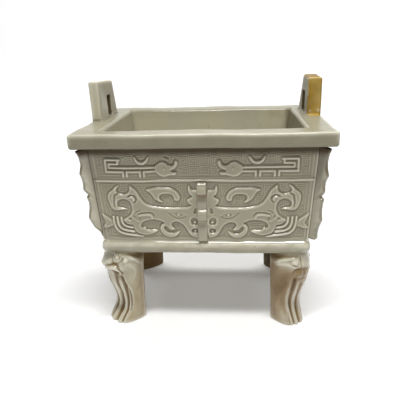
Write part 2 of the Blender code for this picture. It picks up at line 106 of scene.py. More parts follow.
# %% Name the sizes
RIM_WIDTH, RIM_DEPTH = 175.0, 131.0
RIM_TOP, RIM_FOOT, WALL_FOOT, LEG_TOP = 148.2, 138.2, 69.1, 58.6
BODY_WIDTH, BODY_DEPTH = 153.0, 113.0
FOOT_WIDTH, FOOT_DEPTH = 145.4, 105.4
BASE_BULGE = 2.6
WALL_THICKNESS, WALL_THICKENING = 7.3, 3.0
CAVITY_FLOOR = 67.1
PANEL_OVERLAP = 0.7
print("rim in mm:", RIM_WIDTH, "by", RIM_DEPTH, "and its top at", RIM_TOP)

# %% [markdown]
# ## Small tools for drawing
#
# Soft outlines come from corner cutting: each pass replaces a corner by two points, so a handful of points
# becomes a smooth line. A stroke is a line whose width changes along it. For both, what matters is how far
# a spot lies from the edge, because that distance gives the height of a rounded edge, like glaze running
# over it.

# %% Soften outlines and measure distances
FAR = 99.0


def soften(points, passes=2, closed=True, cut=0.22):
    """Cut the corners of an outline, or of an open line, a few times."""
    line = np.array(points, float)
    for _ in range(passes):
        ahead = np.roll(line, -1, axis=0)
        first, second = line * (1 - cut) + ahead * cut, line * cut + ahead * (1 - cut)
        cutting = np.stack([first, second], 1).reshape(-1, line.shape[1])
        line = cutting if closed else np.vstack([line[:1], cutting[:-2], line[-1:]])
    return line


def beside_line(x, z, start, end):
    """How far along a straight line each spot lies, as a share of it, and how far away from it."""
    (x0, z0), (x1, z1) = start, end
    dx, dz = x1 - x0, z1 - z0
    share = np.clip(((x - x0) * dx + (z - z0) * dz) / max(dx * dx + dz * dz, 1e-9), 0, 1)
    return share, np.hypot(x - x0 - share * dx, z - z0 - share * dz)


def stroke_distance(x, z, line):
    """Distance of each spot from the edge of a stroke, negative inside it."""
    nearest = np.full(x.shape, FAR)
    for (*start, w0), (*end, w1) in zip(line, line[1:]):
        share, gap = beside_line(x, z, start, end)
        nearest = np.minimum(nearest, gap - (w0 + (w1 - w0) * share) / 2)
    return nearest


def outline_distance(x, z, outline):
    """Distance of each spot from a closed outline, negative inside it."""
    nearest = np.full(x.shape, FAR)
    inside = np.zeros(x.shape, bool)
    for (x0, z0), (x1, z1) in zip(outline, np.roll(outline, -1, axis=0)):
        nearest = np.minimum(nearest, beside_line(x, z, (x0, z0), (x1, z1))[1])
        crosses = (z0 > z) != (z1 > z)
        reach = x0 + (z - z0) * (x1 - x0) / ((z1 - z0) or 1e-9)
        inside ^= crosses & (x < reach)
    return np.where(inside, -nearest, nearest)


def rounded(distance, height, radius=0.8, toe=0.2):
    """The height of a form with a rounded edge, from the distance to that edge."""
    share = np.clip((toe - distance) / (radius + toe), 0, 1)
    return height * np.sqrt(1 - (1 - share) ** 2)


def widened(field, cells, axis):
    """A grid with its border repeated a few times along one way."""
    return np.pad(field, [(cells, cells) if axis == way else (0, 0) for way in (0, 1)], mode="edge")


def blur(field, cells):
    """A box blur along both ways of a grid, done twice for softness."""
    for _ in range(2):
        for axis in (0, 1):
            padded = widened(field, cells, axis)
            total = np.cumsum(np.insert(padded, 0, 0, axis=axis), axis=axis)
            width = 2 * cells + 1
            count = field.shape[axis]
            field = (np.take(total, range(width, width + count), axis=axis)
                     - np.take(total, range(count), axis=axis)) / width
    return field


def ease(field, axis):
    """Soften a grid very lightly along one way."""
    padded = widened(field, 1, axis)
    count = field.shape[axis]
    before, after = (np.take(padded, range(first, first + count), axis=axis) for first in (0, 2))
    return 0.6 * field + 0.2 * before + 0.2 * after


print("a triangle softened has", len(soften(((0, 0), (9, 0), (0, 9)))), "points")

# %% [markdown]
# ## Uneven by hand
#
# The vessel was pressed and luted together by hand, so no edge is quite straight. One slow, wave-like shift
# that depends only on the place is given to every piece, and so they all move together and stay joined.

# %% Let the edges wander
WANDER = ((0.20, 0.080, 0.3), (0.08, 0.170, 1.9), (0.03, 0.360, 4.1))


def wander(points):
    """Shift points by a few slow waves, in millimetres."""
    x, y, z = points.T
    shift = np.zeros_like(points)
    for size, pace, start in WANDER:
        shift[:, 0] += size * np.sin(pace * (y + 0.7 * z) + start)
        shift[:, 1] += size * np.sin(pace * (x - 0.4 * z) + 2 * start)
        shift[:, 2] += size * np.sin(pace * (x + 1.2 * y) + 3 * start)
    return points + shift * np.clip(z / LEG_TOP, 0, 1)[:, None]


def new_object(name, data, collection=None):
    """An object in the scene, or in a collection of helpers."""
    item = bpy.data.objects.new(name, data)
    (collection or bpy.context.scene.collection).objects.link(item)
    return item


def make_piece(name, points, faces):
    """A closed smooth mesh object from points in millimetres."""
    mesh = bpy.data.meshes.new(name)
    mesh.from_pydata((np.asarray(points, float) * MM).tolist(), [], faces)
    mesh.validate()
    shape = bmesh.new()
    shape.from_mesh(mesh)
    bmesh.ops.recalc_face_normals(shape, faces=shape.faces)
    shape.to_mesh(mesh)
    shape.free()
    mesh.shade_smooth()
    return new_object(name, mesh)


def read_numbers(items, label, width, kind=float):
    """One row of numbers for each vertex, edge or normal of a mesh."""
    numbers = np.empty(len(items) * width, kind)
    items.foreach_get(label, numbers)
    return numbers.reshape(-1, width)


def keep_on_points(mesh, label, numbers):
    """Keep one number on each point of a mesh."""
    mesh.attributes.new(label, "FLOAT", "POINT").data.foreach_set("value", numbers)


def finished_mesh(item):
    """A mesh of what an object looks like with its modifiers."""
    return bpy.data.meshes.new_from_object(item.evaluated_get(bpy.context.evaluated_depsgraph_get()))


def corners_of(mesh):
    """The points of each face."""
    return [tuple(face.vertices) for face in mesh.polygons]


def tell_triangles(piece):
    """Print how many triangles a piece has."""
    print(piece.name, "has", sum(len(face.vertices) - 2 for face in piece.data.polygons), "triangles")


print("wander in mm:", [wave[0] for wave in WANDER])

# %% [markdown]
# ## The relief, drawn once
#
# The mask is one thin plate laid on the wall, with barbs beside the middle flange, a brow that sweeps up to a
# point, a curl around a round hole, a clawed limb, a hooked fang and a jaw. Half of it is drawn, in the order
# that a finger would follow its edge, and the other half is its mirror. Horns, feathers and a fish tail are
# plates and strokes of their own. Grooves and beads finish it.

# %% Draw half of the mask
FOREHEAD = ((2, 107.3), (6, 107.4), (7.6, 107.9), (8.5, 109), (9.2, 111.6), (10.3, 109), (10, 106.4),
            (9, 104.4), (7.2, 103.4), (8.4, 102), (11.2, 100.7), (10.6, 98.6), (9.4, 97.2), (8, 96.6),
            (9.6, 95.6))
BROW = ((12, 94.8), (17, 94.5), (23, 94.5), (29, 94.8), (34.5, 95.5), (38.4, 96.8), (41.2, 99), (43.2, 102),
        (44.8, 105.4), (46.6, 108.6), (50.6, 111.8))
CREST = ((50.6, 108.8), (51.2, 106.9), (52.9, 105.5), (55.2, 104.9), (57.8, 105.3), (59.9, 106.9),
         (60, 108.6), (57.8, 111.8))
CURL = ((60.9, 110.2), (62.6, 108), (65, 106.4), (66.5, 103.8), (66.3, 100.6), (65.6, 97.4), (64.7, 95),
        (62.8, 93.2), (60.2, 92.9), (57, 93.5), (52.8, 93.7), (56, 94.6), (58.8, 95), (60.3, 96.4),
        (60.3, 98.4), (59.3, 100.3))
HOLE = ((57.4, 101.4), (55, 101.6), (52.6, 100.8), (50.9, 98.9), (50.2, 96.4), (50, 93.5), (50.7, 91.2),
        (52, 89), (54, 87.3))
SPUR = ((57.2, 85.9), (56, 84), (54.4, 82.3), (52, 81.7), (50.3, 81.6))
LIMB = ((49.9, 79.2), (48.9, 76.7), (46.8, 74.9), (43.5, 73.9), (39.5, 73.9), (35.8, 74.9), (32.2, 77),
        (35.5, 77.7), (39, 77.5), (40.6, 77.9), (42.2, 80.8), (43.5, 79), (44.8, 80.2))
ARCH = ((44.6, 81.9), (43.8, 83.4), (41.6, 84.8), (38.6, 85.5), (35, 85.7), (31.8, 85.3), (29.4, 84.3),
        (27.6, 82.9))
FANG = ((29.4, 82.4), (31.1, 79.6), (30.7, 76.3), (28.6, 73.5), (25.4, 71.8), (22, 71.7), (19, 73),
        (16.4, 76.9), (19.2, 75.8), (21.8, 74.8), (24.6, 75), (27, 76.6), (28.4, 79.2), (27.6, 80.8),
        (26.2, 80.2), (24.9, 78.5), (23.3, 77.5), (20.2, 77.6), (21.6, 79.6), (22.9, 81.3))
JAW = ((22.5, 82.8), (20.8, 83.9), (18.6, 84), (16.2, 83), (14, 81.2), (12.4, 78.6), (11, 75.6), (9.2, 73.2),
       (6.8, 72), (2, 71.2))
SHORT_SIDE = ((52.2, 107.6), (52.4, 103), (51.4, 98.4), (50.2, 93.5), (50.7, 91.2), (52, 89), (52.6, 87),
              (52, 84), (50.3, 81.6))
HORN = ((40, 108.2), (34.5, 109.6), (28, 109.8), (22, 109.3), (19, 107.8), (17, 105.6), (15.8, 102.8),
        (16.2, 100.3), (18, 99.6), (19.8, 100.2), (20.2, 102.2), (20.9, 104), (23, 105.1), (27, 105.2),
        (29.7, 104.3), (30.3, 102.4), (29.7, 100.7), (27.6, 98.4), (31, 99.5), (33.7, 101.4), (35.2, 104),
        (36.6, 106.4))
TAIL_FIN = ((65, 85.4), (68.4, 87.8), (73, 91.4), (71.2, 86.6), (69.6, 83.4), (71.2, 81.4), (73.2, 79.4),
            (69.4, 78.9), (66.6, 80.4), (64, 81))
FEATHERS = (((64, 87.6, 1.5), (63.9, 83, 1.8), (62.6, 78.4, 1.9), (60, 75.6, 1.9), (55, 74.1, 1.9),
             (44, 72.7, 1.1)),
            ((61.3, 87.4, 1.5), (61, 82.2, 1.8), (59.4, 79, 1.9), (56, 77.2, 1.9), (50.2, 76.3, 1.8)),
            ((58.4, 87.1, 1.5), (58.1, 83.6, 1.8), (56.6, 81.1, 1.9), (54, 79.9, 1.9), (50.8, 79.5, 1.8)))
# Grooves are cut into the plate, ridges and beads stand on it: distance, height, width, then how deep or high
GROOVES = ((((59.2, 105.5, 1), (61.4, 104.4, 1.2), (61.9, 102, 1.2), (62.3, 99, 1.1), (62, 96.2, 0.7)), 0.9),
           (((52.2, 103.3, 0.8), (50.2, 104.4, 1.1), (47.7, 103.9, 1.2), (46.5, 102, 1.2), (46.8, 100.2, 1),
             (48.2, 98.8, 0.7)), 0.9),
           (((5.2, 93.6, 1.2), (5.6, 91.2, 2.4)), 0.9),
           (((46.2, 90.2, 0.7), (43, 91, 1), (39, 91.1, 1), (36, 90.7, 1), (34.9, 89, 0.8)), 0.65),
           (((48, 90.8, 0.8), (46.8, 92.3, 1), (44.6, 92.8, 0.8)), 0.55),
           (((52.6, 86.9, 1.3), (51.6, 86.7, 1.2)), 0.7),
           (((49.4, 89.8, 0.9), (48.6, 88.2, 1)), 0.5),
           (((45.6, 87.4, 0.9), (44.6, 86.4, 0.8)), 0.5),
           (((24.6, 91.2, 0.5), (22, 88.6, 0.8), (19, 86.9, 0.9), (15.6, 86.7, 0.8), (12.2, 88.2, 0.5)), 0.5),
           (((18.9, 89.5, 1.3), (18.8, 89.5, 1.3)), 0.45),
           (((15.8, 89, 1.3), (15.7, 89, 1.3)), 0.45))
PITS = (((9, 85.2), (7.6, 87.2), (5.6, 86.8), (4, 85), (4, 82), (6.6, 81.2), (8.6, 82.2)),
        ((8.8, 77.6), (7.2, 78.7), (4, 78.5), (4, 75.4), (6, 75), (8.2, 75.6)))
RIDGES = ((((45.4, 88.9, 1), (41, 89.5, 1.7), (38, 89.4, 1.7), (36.5, 88.4, 1.5), (36.1, 87, 1.2)), 0.45),
          (((50.4, 87.4, 1), (46.4, 84.7, 1.8)), 0.35),
          (((54.2, 85.2, 1), (52, 84.8, 1.4)), 0.3),
          (((24.4, 92, 0.5), (19.6, 92, 0.9), (15, 91.3, 0.9), (11.8, 89.2, 0.5)), 0.25),
          (((17.4, 89.6, 1.6), (17.3, 89.6, 1.6)), 0.5),
          (((51.6, 102.4, 0.8), (50, 102.9, 1.3), (48.3, 101.8, 1.3), (48, 100.4, 0.9)), 0.35))
BEADS = (((6.1, 83.3, 1.9), (6.1, 83.2, 1.9)), ((6, 76.7, 1.5), (6, 76.6, 1.5)))
mask_outline = FOREHEAD + BROW + CREST + CURL + HOLE + SPUR + LIMB + ARCH + FANG + JAW
short_mask_outline = FOREHEAD + BROW + SHORT_SIDE + LIMB + ARCH + FANG + JAW
print("mask drawn with", len(mask_outline), "points for one half")

# %% [markdown]
# Above the mask two crested dragons face each other. Each has a rounded head with parted lips, a long body
# made of two bars, and feet and a tail that turn in squared hooks. The right one stands nearer the middle
# on the real vessel, so its drawing is stretched and shifted. On the short walls the tail is pulled in.

# %% Draw a dragon
DRAGON_HEAD = ((32.4, 124.8), (30, 126.8), (27.2, 128.5), (24.6, 127.7), (22.6, 125.8), (20.4, 125.3),
               (18.9, 126.2), (18.2, 128.8), (16.6, 129), (16.2, 127), (17, 124.8), (18.8, 123),
               (21.6, 121.8), (20.4, 120.9), (17.6, 121), (17.2, 119.6), (18.6, 118.6), (21.2, 118.8),
               (23.6, 118), (26, 117.5), (28.6, 118), (30.2, 119.6), (31.6, 120.8))
DRAGON_BARS = (((56.2, 129.7, 1.7), (65.4, 129.7, 1.7), (65.4, 121.4, 1.7), (53.9, 121.4, 1.7),
                (53.9, 118.2, 1.6)),
               ((57.1, 129.8, 1.7), (57.1, 126.9, 1.7), (63.1, 126.9, 1.7), (63.1, 124.2, 1.7),
                (31, 124.2, 1.8)),
               ((51.4, 118.2, 1.6), (51.4, 121.4, 1.7), (42.3, 121.4, 1.7), (42.3, 118.2, 1.6)),
               ((39.7, 118.2, 1.6), (39.7, 121.4, 1.7), (30, 121.7, 1.8)))
DRAGON_CREST = ((45.2, 131.6, 1), (44, 128.8, 1.8), (41.9, 127.3, 2.3), (39.6, 127.2, 2.3),
                (37.4, 128.8, 1.8), (35.8, 131.6, 1))
DRAGON_EYE = ((25.8, 123.2, 1.2), (25.7, 123.2, 1.2))
NECK_DISTANCE, TAIL_DISTANCE, SHORT_TAIL_DISTANCE = 32.0, 65.4, 49.6
SHORT_WALL_SQUEEZE = 0.94
DIVIDER, FAINT_DIVIDER, FOOT_BORDER = 114.7, 116.6, 70.8


def follow(points, stretch=1.0, shift=0.0, tail=TAIL_DISTANCE):
    """Points of a dragon moved along the wall, and drawn in behind the neck so that it ends at the tail."""
    moved = np.array(points, float)
    squeeze = (tail - NECK_DISTANCE) / (TAIL_DISTANCE - NECK_DISTANCE)
    behind = np.maximum(moved[:, 0] - NECK_DISTANCE, 0)
    moved[:, 0] = (moved[:, 0] - behind + behind * squeeze) * stretch + shift
    return moved


print("dragon drawn with", len(DRAGON_HEAD), "points for its head and", len(DRAGON_BARS), "bars")

# %% [markdown]
# ## From drawing to height
#
# A wall is a fine grid of heights over its leaning plane. Forms are laid on it one after the other, each only
# where it reaches, and the highest wins. The ground between them carries small square spirals in rows, the
# thunder pattern, and near a raised form the lines follow its edge instead. A light softening melts the forms
# together, as glaze does, before the fine ground goes on.

# %% Turn drawings into heights
RELIEF = 1.35
SPIRAL_PITCH, SPIRAL_CELL, SPIRAL_HEIGHT = 1.25, 7.2, 0.28
SPIRAL_START, UPPER_ROW_FOOT = -1.7, 117.2


class Relief:
    """A grid of heights over one wall, in millimetres."""

    def __init__(self, half_top, half_foot, step):
        self.low, self.high = WALL_FOOT - PANEL_OVERLAP, RIM_FOOT + PANEL_OVERLAP
        rows = int((self.high - self.low) / step) + 1
        columns = int(2 * half_top / step) + 1
        self.z = np.linspace(self.low, self.high, rows)[:, None] * np.ones((1, columns))
        share = (self.z - WALL_FOOT) / (RIM_FOOT - WALL_FOOT)
        self.half = half_foot + (half_top - half_foot) * share
        self.x = np.linspace(-1, 1, columns)[None, :] * self.half
        self.height = np.zeros_like(self.x)
        self.edge = np.full(self.x.shape, FAR)
        self.step = step

    def window(self, points, margin=3.2):
        """The rows and columns that a form can reach."""
        (x0, z0), (x1, z1) = points[:, :2].min(0) - margin, points[:, :2].max(0) + margin
        columns = np.where((self.x.max(0) > x0) & (self.x.min(0) < x1))[0]
        rows = np.where((self.z[:, 0] > z0) & (self.z[:, 0] < z1))[0]
        return slice(rows[0], rows[-1] + 1), slice(columns[0], columns[-1] + 1)

    def lay(self, form, measure, height, radius):
        """Lay a form on the wall, where the highest wins, and keep how far its edge is."""
        part = self.window(form)
        distance = measure(self.x[part], self.z[part], form)
        self.height[part] = np.maximum(self.height[part], rounded(distance, height, radius))
        self.edge[part] = np.minimum(self.edge[part], distance)

    def plate(self, outline, height=RELIEF, radius=0.8):
        """Lay a flat form with a rounded edge."""
        self.lay(outline, outline_distance, height, radius)

    def stroke(self, line, height=RELIEF, radius=0.8):
        """Lay a raised stroke."""
        self.lay(line, stroke_distance, height, radius)

    def add(self, line, height, radius=0.6):
        """Raise a stroke on whatever is there, or cut it in with a negative height."""
        part = self.window(line)
        distance = stroke_distance(self.x[part], self.z[part], line)
        self.height[part] += rounded(distance, height, radius)

    def sink(self, outline, depth=RELIEF, radius=0.7):
        """Cut an outline down to the ground."""
        part = self.window(outline)
        distance = outline_distance(self.x[part], self.z[part], outline)
        self.height[part] = np.maximum(self.height[part] - rounded(distance, depth, radius), 0)

    def spiral_ground(self):
        """Rows of square spirals, with lines along the raised forms."""
        across = (self.x - SPIRAL_START) / SPIRAL_CELL
        above = (self.z - UPPER_ROW_FOOT) / SPIRAL_CELL
        p, q = (across % 1 - 0.5) * SPIRAL_CELL, (above % 1 - 0.5) * SPIRAL_CELL
        turning = np.where((np.floor(across) + np.floor(above)) % 2 == 0, 1, -1)
        ring = np.maximum(np.abs(p), np.abs(q)) + SPIRAL_PITCH * turning * np.arctan2(q, p) / (2 * math.pi)
        along_edge = self.edge < 1.9
        waves = np.where(along_edge, (self.edge - 0.5) / SPIRAL_PITCH, ring / SPIRAL_PITCH)
        lines = 0.5 + 0.5 * np.cos(2 * math.pi * waves)
        free = np.clip((self.edge - 0.5) / 0.4, 0, 1)
        # The ground number is nought on the forms and one on the open ground, less on the spirals' raised
        # lines; the glaze darkens by it, partly dirt and partly painted shade in the recess
        self.ground = np.clip((self.edge - 0.1) / 0.6, 0, 1) * (1 - 0.65 * lines * free)
        self.height = self.height + SPIRAL_HEIGHT * lines * free


print("the mask stands", RELIEF, "mm high and the spirals", SPIRAL_HEIGHT, "mm")

# %% [markdown]
# All walls are drawn by one function. The short walls have a narrower mask and no fish tail, and the hidden
# walls go without the fine grooves and ridges. Borders and dividers close the two bands.

# %% Draw one wall
KILN_FLAW = ((-25.2, 131.3, 0.5), (-24, 131, 0.9), (-22.3, 130.2, 0.6))


def mirrored(points, side):
    """The drawing on the left or right half of a wall."""
    turned = np.array(points, float)
    turned[:, 0] *= side
    return turned


def draw_wall(half_top, half_foot, step, wide=True, fine=True, right_dragon=(1.0, 0.0)):
    """All the relief of one wall."""
    wall = Relief(half_top, half_foot, step)
    tail = TAIL_DISTANCE if wide else SHORT_TAIL_DISTANCE
    if not wide:
        wall.x = wall.x / SHORT_WALL_SQUEEZE
    for side in (-1, 1):
        place = right_dragon if side > 0 else (1.0, 0.0)
        wall.plate(mirrored(soften(mask_outline if wide else short_mask_outline), side))
        wall.plate(mirrored(soften(HORN), side))
        if wide:
            wall.plate(mirrored(soften(TAIL_FIN), side), RELIEF * 0.9)
            for feather in FEATHERS:
                wall.stroke(mirrored(soften(feather, closed=False), side), RELIEF * 0.95)
        wall.plate(mirrored(follow(soften(DRAGON_HEAD), *place, tail), side))
        for bar in DRAGON_BARS:
            wall.stroke(mirrored(follow(bar, *place, tail), side), RELIEF * 0.95, 0.75)
        wall.stroke(mirrored(follow(soften(DRAGON_CREST, closed=False), *place, tail), side))
        for pit in PITS:
            wall.sink(mirrored(soften(pit), side))
        if fine:
            for groove, depth in GROOVES:
                wall.add(mirrored(soften(groove, closed=False), side), -depth)
            for ridge, height in RIDGES:
                wall.add(mirrored(soften(ridge, closed=False), side), height)
        for bead in BEADS:
            wall.add(mirrored(bead, side), RELIEF * 0.8, 1.0)
        wall.add(mirrored(follow(DRAGON_EYE, *place), side), 0.35)
    if fine:
        wall.add(np.array(KILN_FLAW), -0.9, 0.5)
    wall.x = wall.x if wide else wall.x * SHORT_WALL_SQUEEZE
    for side in (-1, 1):
        for inset, height in ((0.5, 0.55), (2.5, 0.25)):
            border = ((half_top - inset, RIM_FOOT, 1.1), (half_foot - inset, WALL_FOOT, 1.1))
            wall.stroke(mirrored(border, side), height, 0.5)
    for reach, level, width, height, radius in ((half_foot + 2, DIVIDER, 1.5, RELIEF * 0.8, 0.7),
                                                (half_foot, FAINT_DIVIDER, 0.8, 0.3, 0.4),
                                                (half_foot, FOOT_BORDER, 2.2, 0.35, 0.9)):
        wall.stroke(np.array(((-reach, level, width), (reach, level, width))), height, radius)
    for axis in (0, 1):
        wall.height = ease(wall.height, axis)
    wall.spiral_ground()
    return wall


print("the kiln flaw is", round(KILN_FLAW[-1][0] - KILN_FLAW[0][0], 1), "mm long")

# %% [markdown]
# ## Four wall panels
#
# Each grid of heights becomes a closed slab: its face carries the relief, and its back lies inside the
# vessel's wall. A grid is plain and even, which keeps the shading clean. The front is the finest, and the
# hidden walls have the same figures on a coarser grid.

# %% Build the panels
PANEL_DEPTH = 2.2
FRONT_STEP, BACK_STEP, SIDE_STEP = 0.36, 0.50, 0.46
RIGHT_DRAGON = (1.081, -7.2)


def panel(name, wall, turn, foot_distance, top_distance):
    """A closed slab from a grid of heights, stood against its side of the vessel."""
    rows, columns = wall.x.shape
    share = (wall.z - WALL_FOOT) / (RIM_FOOT - WALL_FOOT)
    plane = foot_distance + (top_distance - foot_distance) * share
    front = np.stack([wall.x, -(plane + wall.height), wall.z], -1).reshape(-1, 3)
    back = np.stack([wall.x, -(plane - PANEL_DEPTH), wall.z], -1)
    rim = [(0, column) for column in range(columns)] + [(row, columns - 1) for row in range(1, rows)]
    rim += [(rows - 1, column) for column in range(columns - 2, -1, -1)]
    rim += [(row, 0) for row in range(rows - 2, 0, -1)]
    ring = np.array([back[place] for place in rim])
    index = np.arange(rows * columns).reshape(rows, columns)
    faces = np.stack([index[:-1, :-1], index[:-1, 1:], index[1:, 1:], index[1:, :-1]], -1)
    faces = faces.reshape(-1, 4).tolist()
    first = rows * columns
    for number, (row, column) in enumerate(rim):
        after = (number + 1) % len(rim)
        faces.append((int(index[rim[after]]), int(index[row, column]), first + number, first + after))
    faces.append(tuple(range(first + len(rim) - 1, first - 1, -1)))
    points = np.vstack([front, ring])
    spin = np.array(Matrix.Rotation(turn, 3, "Z"))
    piece = make_piece(name, wander(points @ spin.T), faces)
    keep_on_points(piece.data, "ground", np.concatenate([wall.ground.ravel(), np.zeros(len(ring))]))
    tell_triangles(piece)
    return piece


half_width = (BODY_WIDTH / 2, FOOT_WIDTH / 2)
half_depth = (BODY_DEPTH / 2, FOOT_DEPTH / 2)
front_wall = draw_wall(*half_width, FRONT_STEP, right_dragon=RIGHT_DRAGON)
back_wall = draw_wall(*half_width, BACK_STEP, fine=False)
side_wall = draw_wall(*half_depth, SIDE_STEP, wide=False, fine=False)
print("front wall grid:", front_wall.x.shape)
panels = [
    panel("front_relief", front_wall, 0, FOOT_DEPTH / 2, BODY_DEPTH / 2),
    panel("back_relief", back_wall, math.pi, FOOT_DEPTH / 2, BODY_DEPTH / 2),
    panel("right_relief", side_wall, math.pi / 2, FOOT_WIDTH / 2, BODY_WIDTH / 2),
    panel("left_relief", side_wall, -math.pi / 2, FOOT_WIDTH / 2, BODY_WIDTH / 2),
]

# %% [markdown]
# ## The vessel
#
# Rim, walls, half-round base and handles were luted together wet and fired as one, so their joins are soft.
# Plain blocks with bevelled edges are fused and hollowed by booleans, and a voxel remesh with a little
# smoothing melts the joins. Decimation then thins the flat parts. Hand-cut fillets at each join would take
# far longer and look harder.

# %% Make rounded blocks and flat forms
vessel_forms = bpy.data.collections.new("vessel forms")
hollows = bpy.data.collections.new("hollows")
for helpers in (vessel_forms, hollows):
    bpy.context.scene.collection.children.link(helpers)


def block(name, size, low, high, collection, top_size=None, rounding=0.0, segments=4):
    """A block from one height to another, whose top may have its own size, with rounded edges."""
    mesh = bpy.data.meshes.new(name)
    shape = bmesh.new()
    bmesh.ops.create_cube(shape, size=1.0)
    for vertex in shape.verts:
        width, depth = (top_size or size) if vertex.co.z > 0 else size
        height = high if vertex.co.z > 0 else low
        vertex.co = Vector((vertex.co.x * width, vertex.co.y * depth, height)) * MM
    shape.to_mesh(mesh)
    shape.free()
    item = new_object(name, mesh, collection)
    if rounding:
        bevel = item.modifiers.new("rounded edges", "BEVEL")
        bevel.width = rounding * MM
        bevel.segments = segments
    return item


def flat_form(name, outline, thickness, rounding, placing):
    """A mesh of a flat outline with rounded edges, thickened about its own plane and put in its place."""
    curve = bpy.data.curves.new(name, "CURVE")
    curve.dimensions = "2D"
    curve.fill_mode = "BOTH"
    curve.extrude = (thickness / 2 - rounding) * MM
    curve.bevel_depth = rounding * MM
    curve.bevel_resolution = 2
    curve.offset = -rounding * MM
    spline = curve.splines.new("POLY")
    spline.points.add(len(outline) - 1)
    for point, (x, y) in zip(spline.points, outline):
        point.co = (x * MM, y * MM, 0, 1)
    spline.use_cyclic_u = True
    guide = new_object(name, curve)
    bpy.context.view_layer.update()
    mesh = finished_mesh(guide)
    bpy.data.objects.remove(guide, do_unlink=True)
    shape = bmesh.new()
    shape.from_mesh(mesh)
    bmesh.ops.remove_doubles(shape, verts=shape.verts, dist=0.00001)
    shape.transform(placing)
    bmesh.ops.recalc_face_normals(shape, faces=shape.faces)
    shape.to_mesh(mesh)
    shape.free()
    mesh.name = name
    return mesh


print("collections of helpers:", vessel_forms.name, "and", hollows.name)

# %% [markdown]
# The two handles were cut by hand and differ. The left one is thinner and stands further forward, and its top
# is longer. Both lean out a little, and each has an upright slot.

# %% Shape the handles
HANDLES = {
    "left": dict(side=-1, thickness=8.8, front=-9.8, foot=46.8, top=37.8, height=29.6, back_height=27.6,
                 flare=3.5, slot=17.6, slot_length=10.5, lean=0.35),
    "right": dict(side=1, thickness=10.9, front=2.3, foot=45.4, top=26.8, height=27.8, back_height=29.0,
                  flare=2.0, slot=11.6, slot_length=15.0, lean=0.35),
}
HANDLE_SETBACK, HANDLE_ROUNDING = 0.6, 1.9
SLOT_HEIGHT, SLOT_SILL = 16.0, 0.6
# Nicks in the left handle's top edge: place and radius
NICKS = ((-78.6, -4.6, 177.7, 1.0), (-78.6, 5.5, 177.2, 1.1))

for word, handle in HANDLES.items():
    middle = handle["side"] * (RIM_WIDTH / 2 - HANDLE_SETBACK - handle["thickness"] / 2)
    front, top = handle["front"], RIM_TOP + handle["height"] - 0.2
    heel = front + handle["foot"]
    waist = heel - (handle["foot"] - handle["top"]) * 0.12
    outline = [(front, RIM_TOP - 5), (heel + handle["flare"], RIM_TOP - 5),
               (heel + handle["flare"], RIM_TOP - 1), (heel, RIM_TOP + 1), (waist, RIM_TOP + 4),
               (front + handle["top"], RIM_TOP + handle["back_height"]), (front, top)]
    slope = handle["side"] * handle["lean"] / handle["height"]
    upright = Matrix(((0, slope, 1, (middle - slope * RIM_TOP) * MM), (1, 0, 0, 0), (0, 1, 0, 0),
                      (0, 0, 0, 1)))
    mesh = flat_form(f"handle {word}", outline, handle["thickness"], HANDLE_ROUNDING, upright)
    new_object(mesh.name, mesh, vessel_forms)
    slot = block(f"slot {word}", (handle["thickness"] * 2, handle["slot_length"]), RIM_TOP + SLOT_SILL,
                 RIM_TOP + SLOT_SILL + SLOT_HEIGHT, hollows, rounding=1.0)
    slot.location = Vector((middle, front + handle["slot"] + handle["slot_length"] / 2, 0)) * MM
print("handles:", ", ".join(HANDLES))

# %% [markdown]
# The rough vessel is a rim on walls and a base moulding, with a cavity and a flared mouth to take away.

# %% Build up the rough vessel
RIM_ROOM = 0.36
WALL_SETBACK = 0.9

rim = block("rim", (RIM_WIDTH - 2 * RIM_ROOM, RIM_DEPTH - 2 * RIM_ROOM), RIM_FOOT, RIM_TOP,
            bpy.context.scene.collection, rounding=1.8, segments=5)
wall_foot = (FOOT_WIDTH - 2 * WALL_SETBACK, FOOT_DEPTH - 2 * WALL_SETBACK)
wall_top = (BODY_WIDTH - 2 * WALL_SETBACK, BODY_DEPTH - 2 * WALL_SETBACK)
block("walls", wall_foot, WALL_FOOT - 4, RIM_FOOT + 4, vessel_forms, top_size=wall_top)
base_size = (FOOT_WIDTH + 2 * BASE_BULGE, FOOT_DEPTH + 2 * BASE_BULGE)
block("base moulding", base_size, LEG_TOP, WALL_FOOT, vessel_forms, rounding=4.9, segments=9)
mouth = (BODY_WIDTH - 2 * WALL_THICKNESS, BODY_DEPTH - 2 * WALL_THICKNESS)
thick_foot = WALL_THICKNESS + WALL_THICKENING
floor_size = (FOOT_WIDTH - 2 * thick_foot, FOOT_DEPTH - 2 * thick_foot)
block("cavity", floor_size, CAVITY_FLOOR, RIM_TOP + 3, hollows, top_size=mouth, rounding=2.6, segments=5)
block("mouth", mouth, RIM_TOP - 1.4, RIM_TOP + 3, hollows, top_size=(mouth[0] + 7, mouth[1] + 7))

# %% [markdown]
# The rim takes the forms in, one boolean joins them and one hollows them. The skin that melts the joins is
# read back as points, so that nicks can be smoothed into it, and the flat parts are thinned at the end.

# %% Fuse, melt and thin the vessel
VOXEL = 0.00058
VESSEL_TRIANGLES = 180000

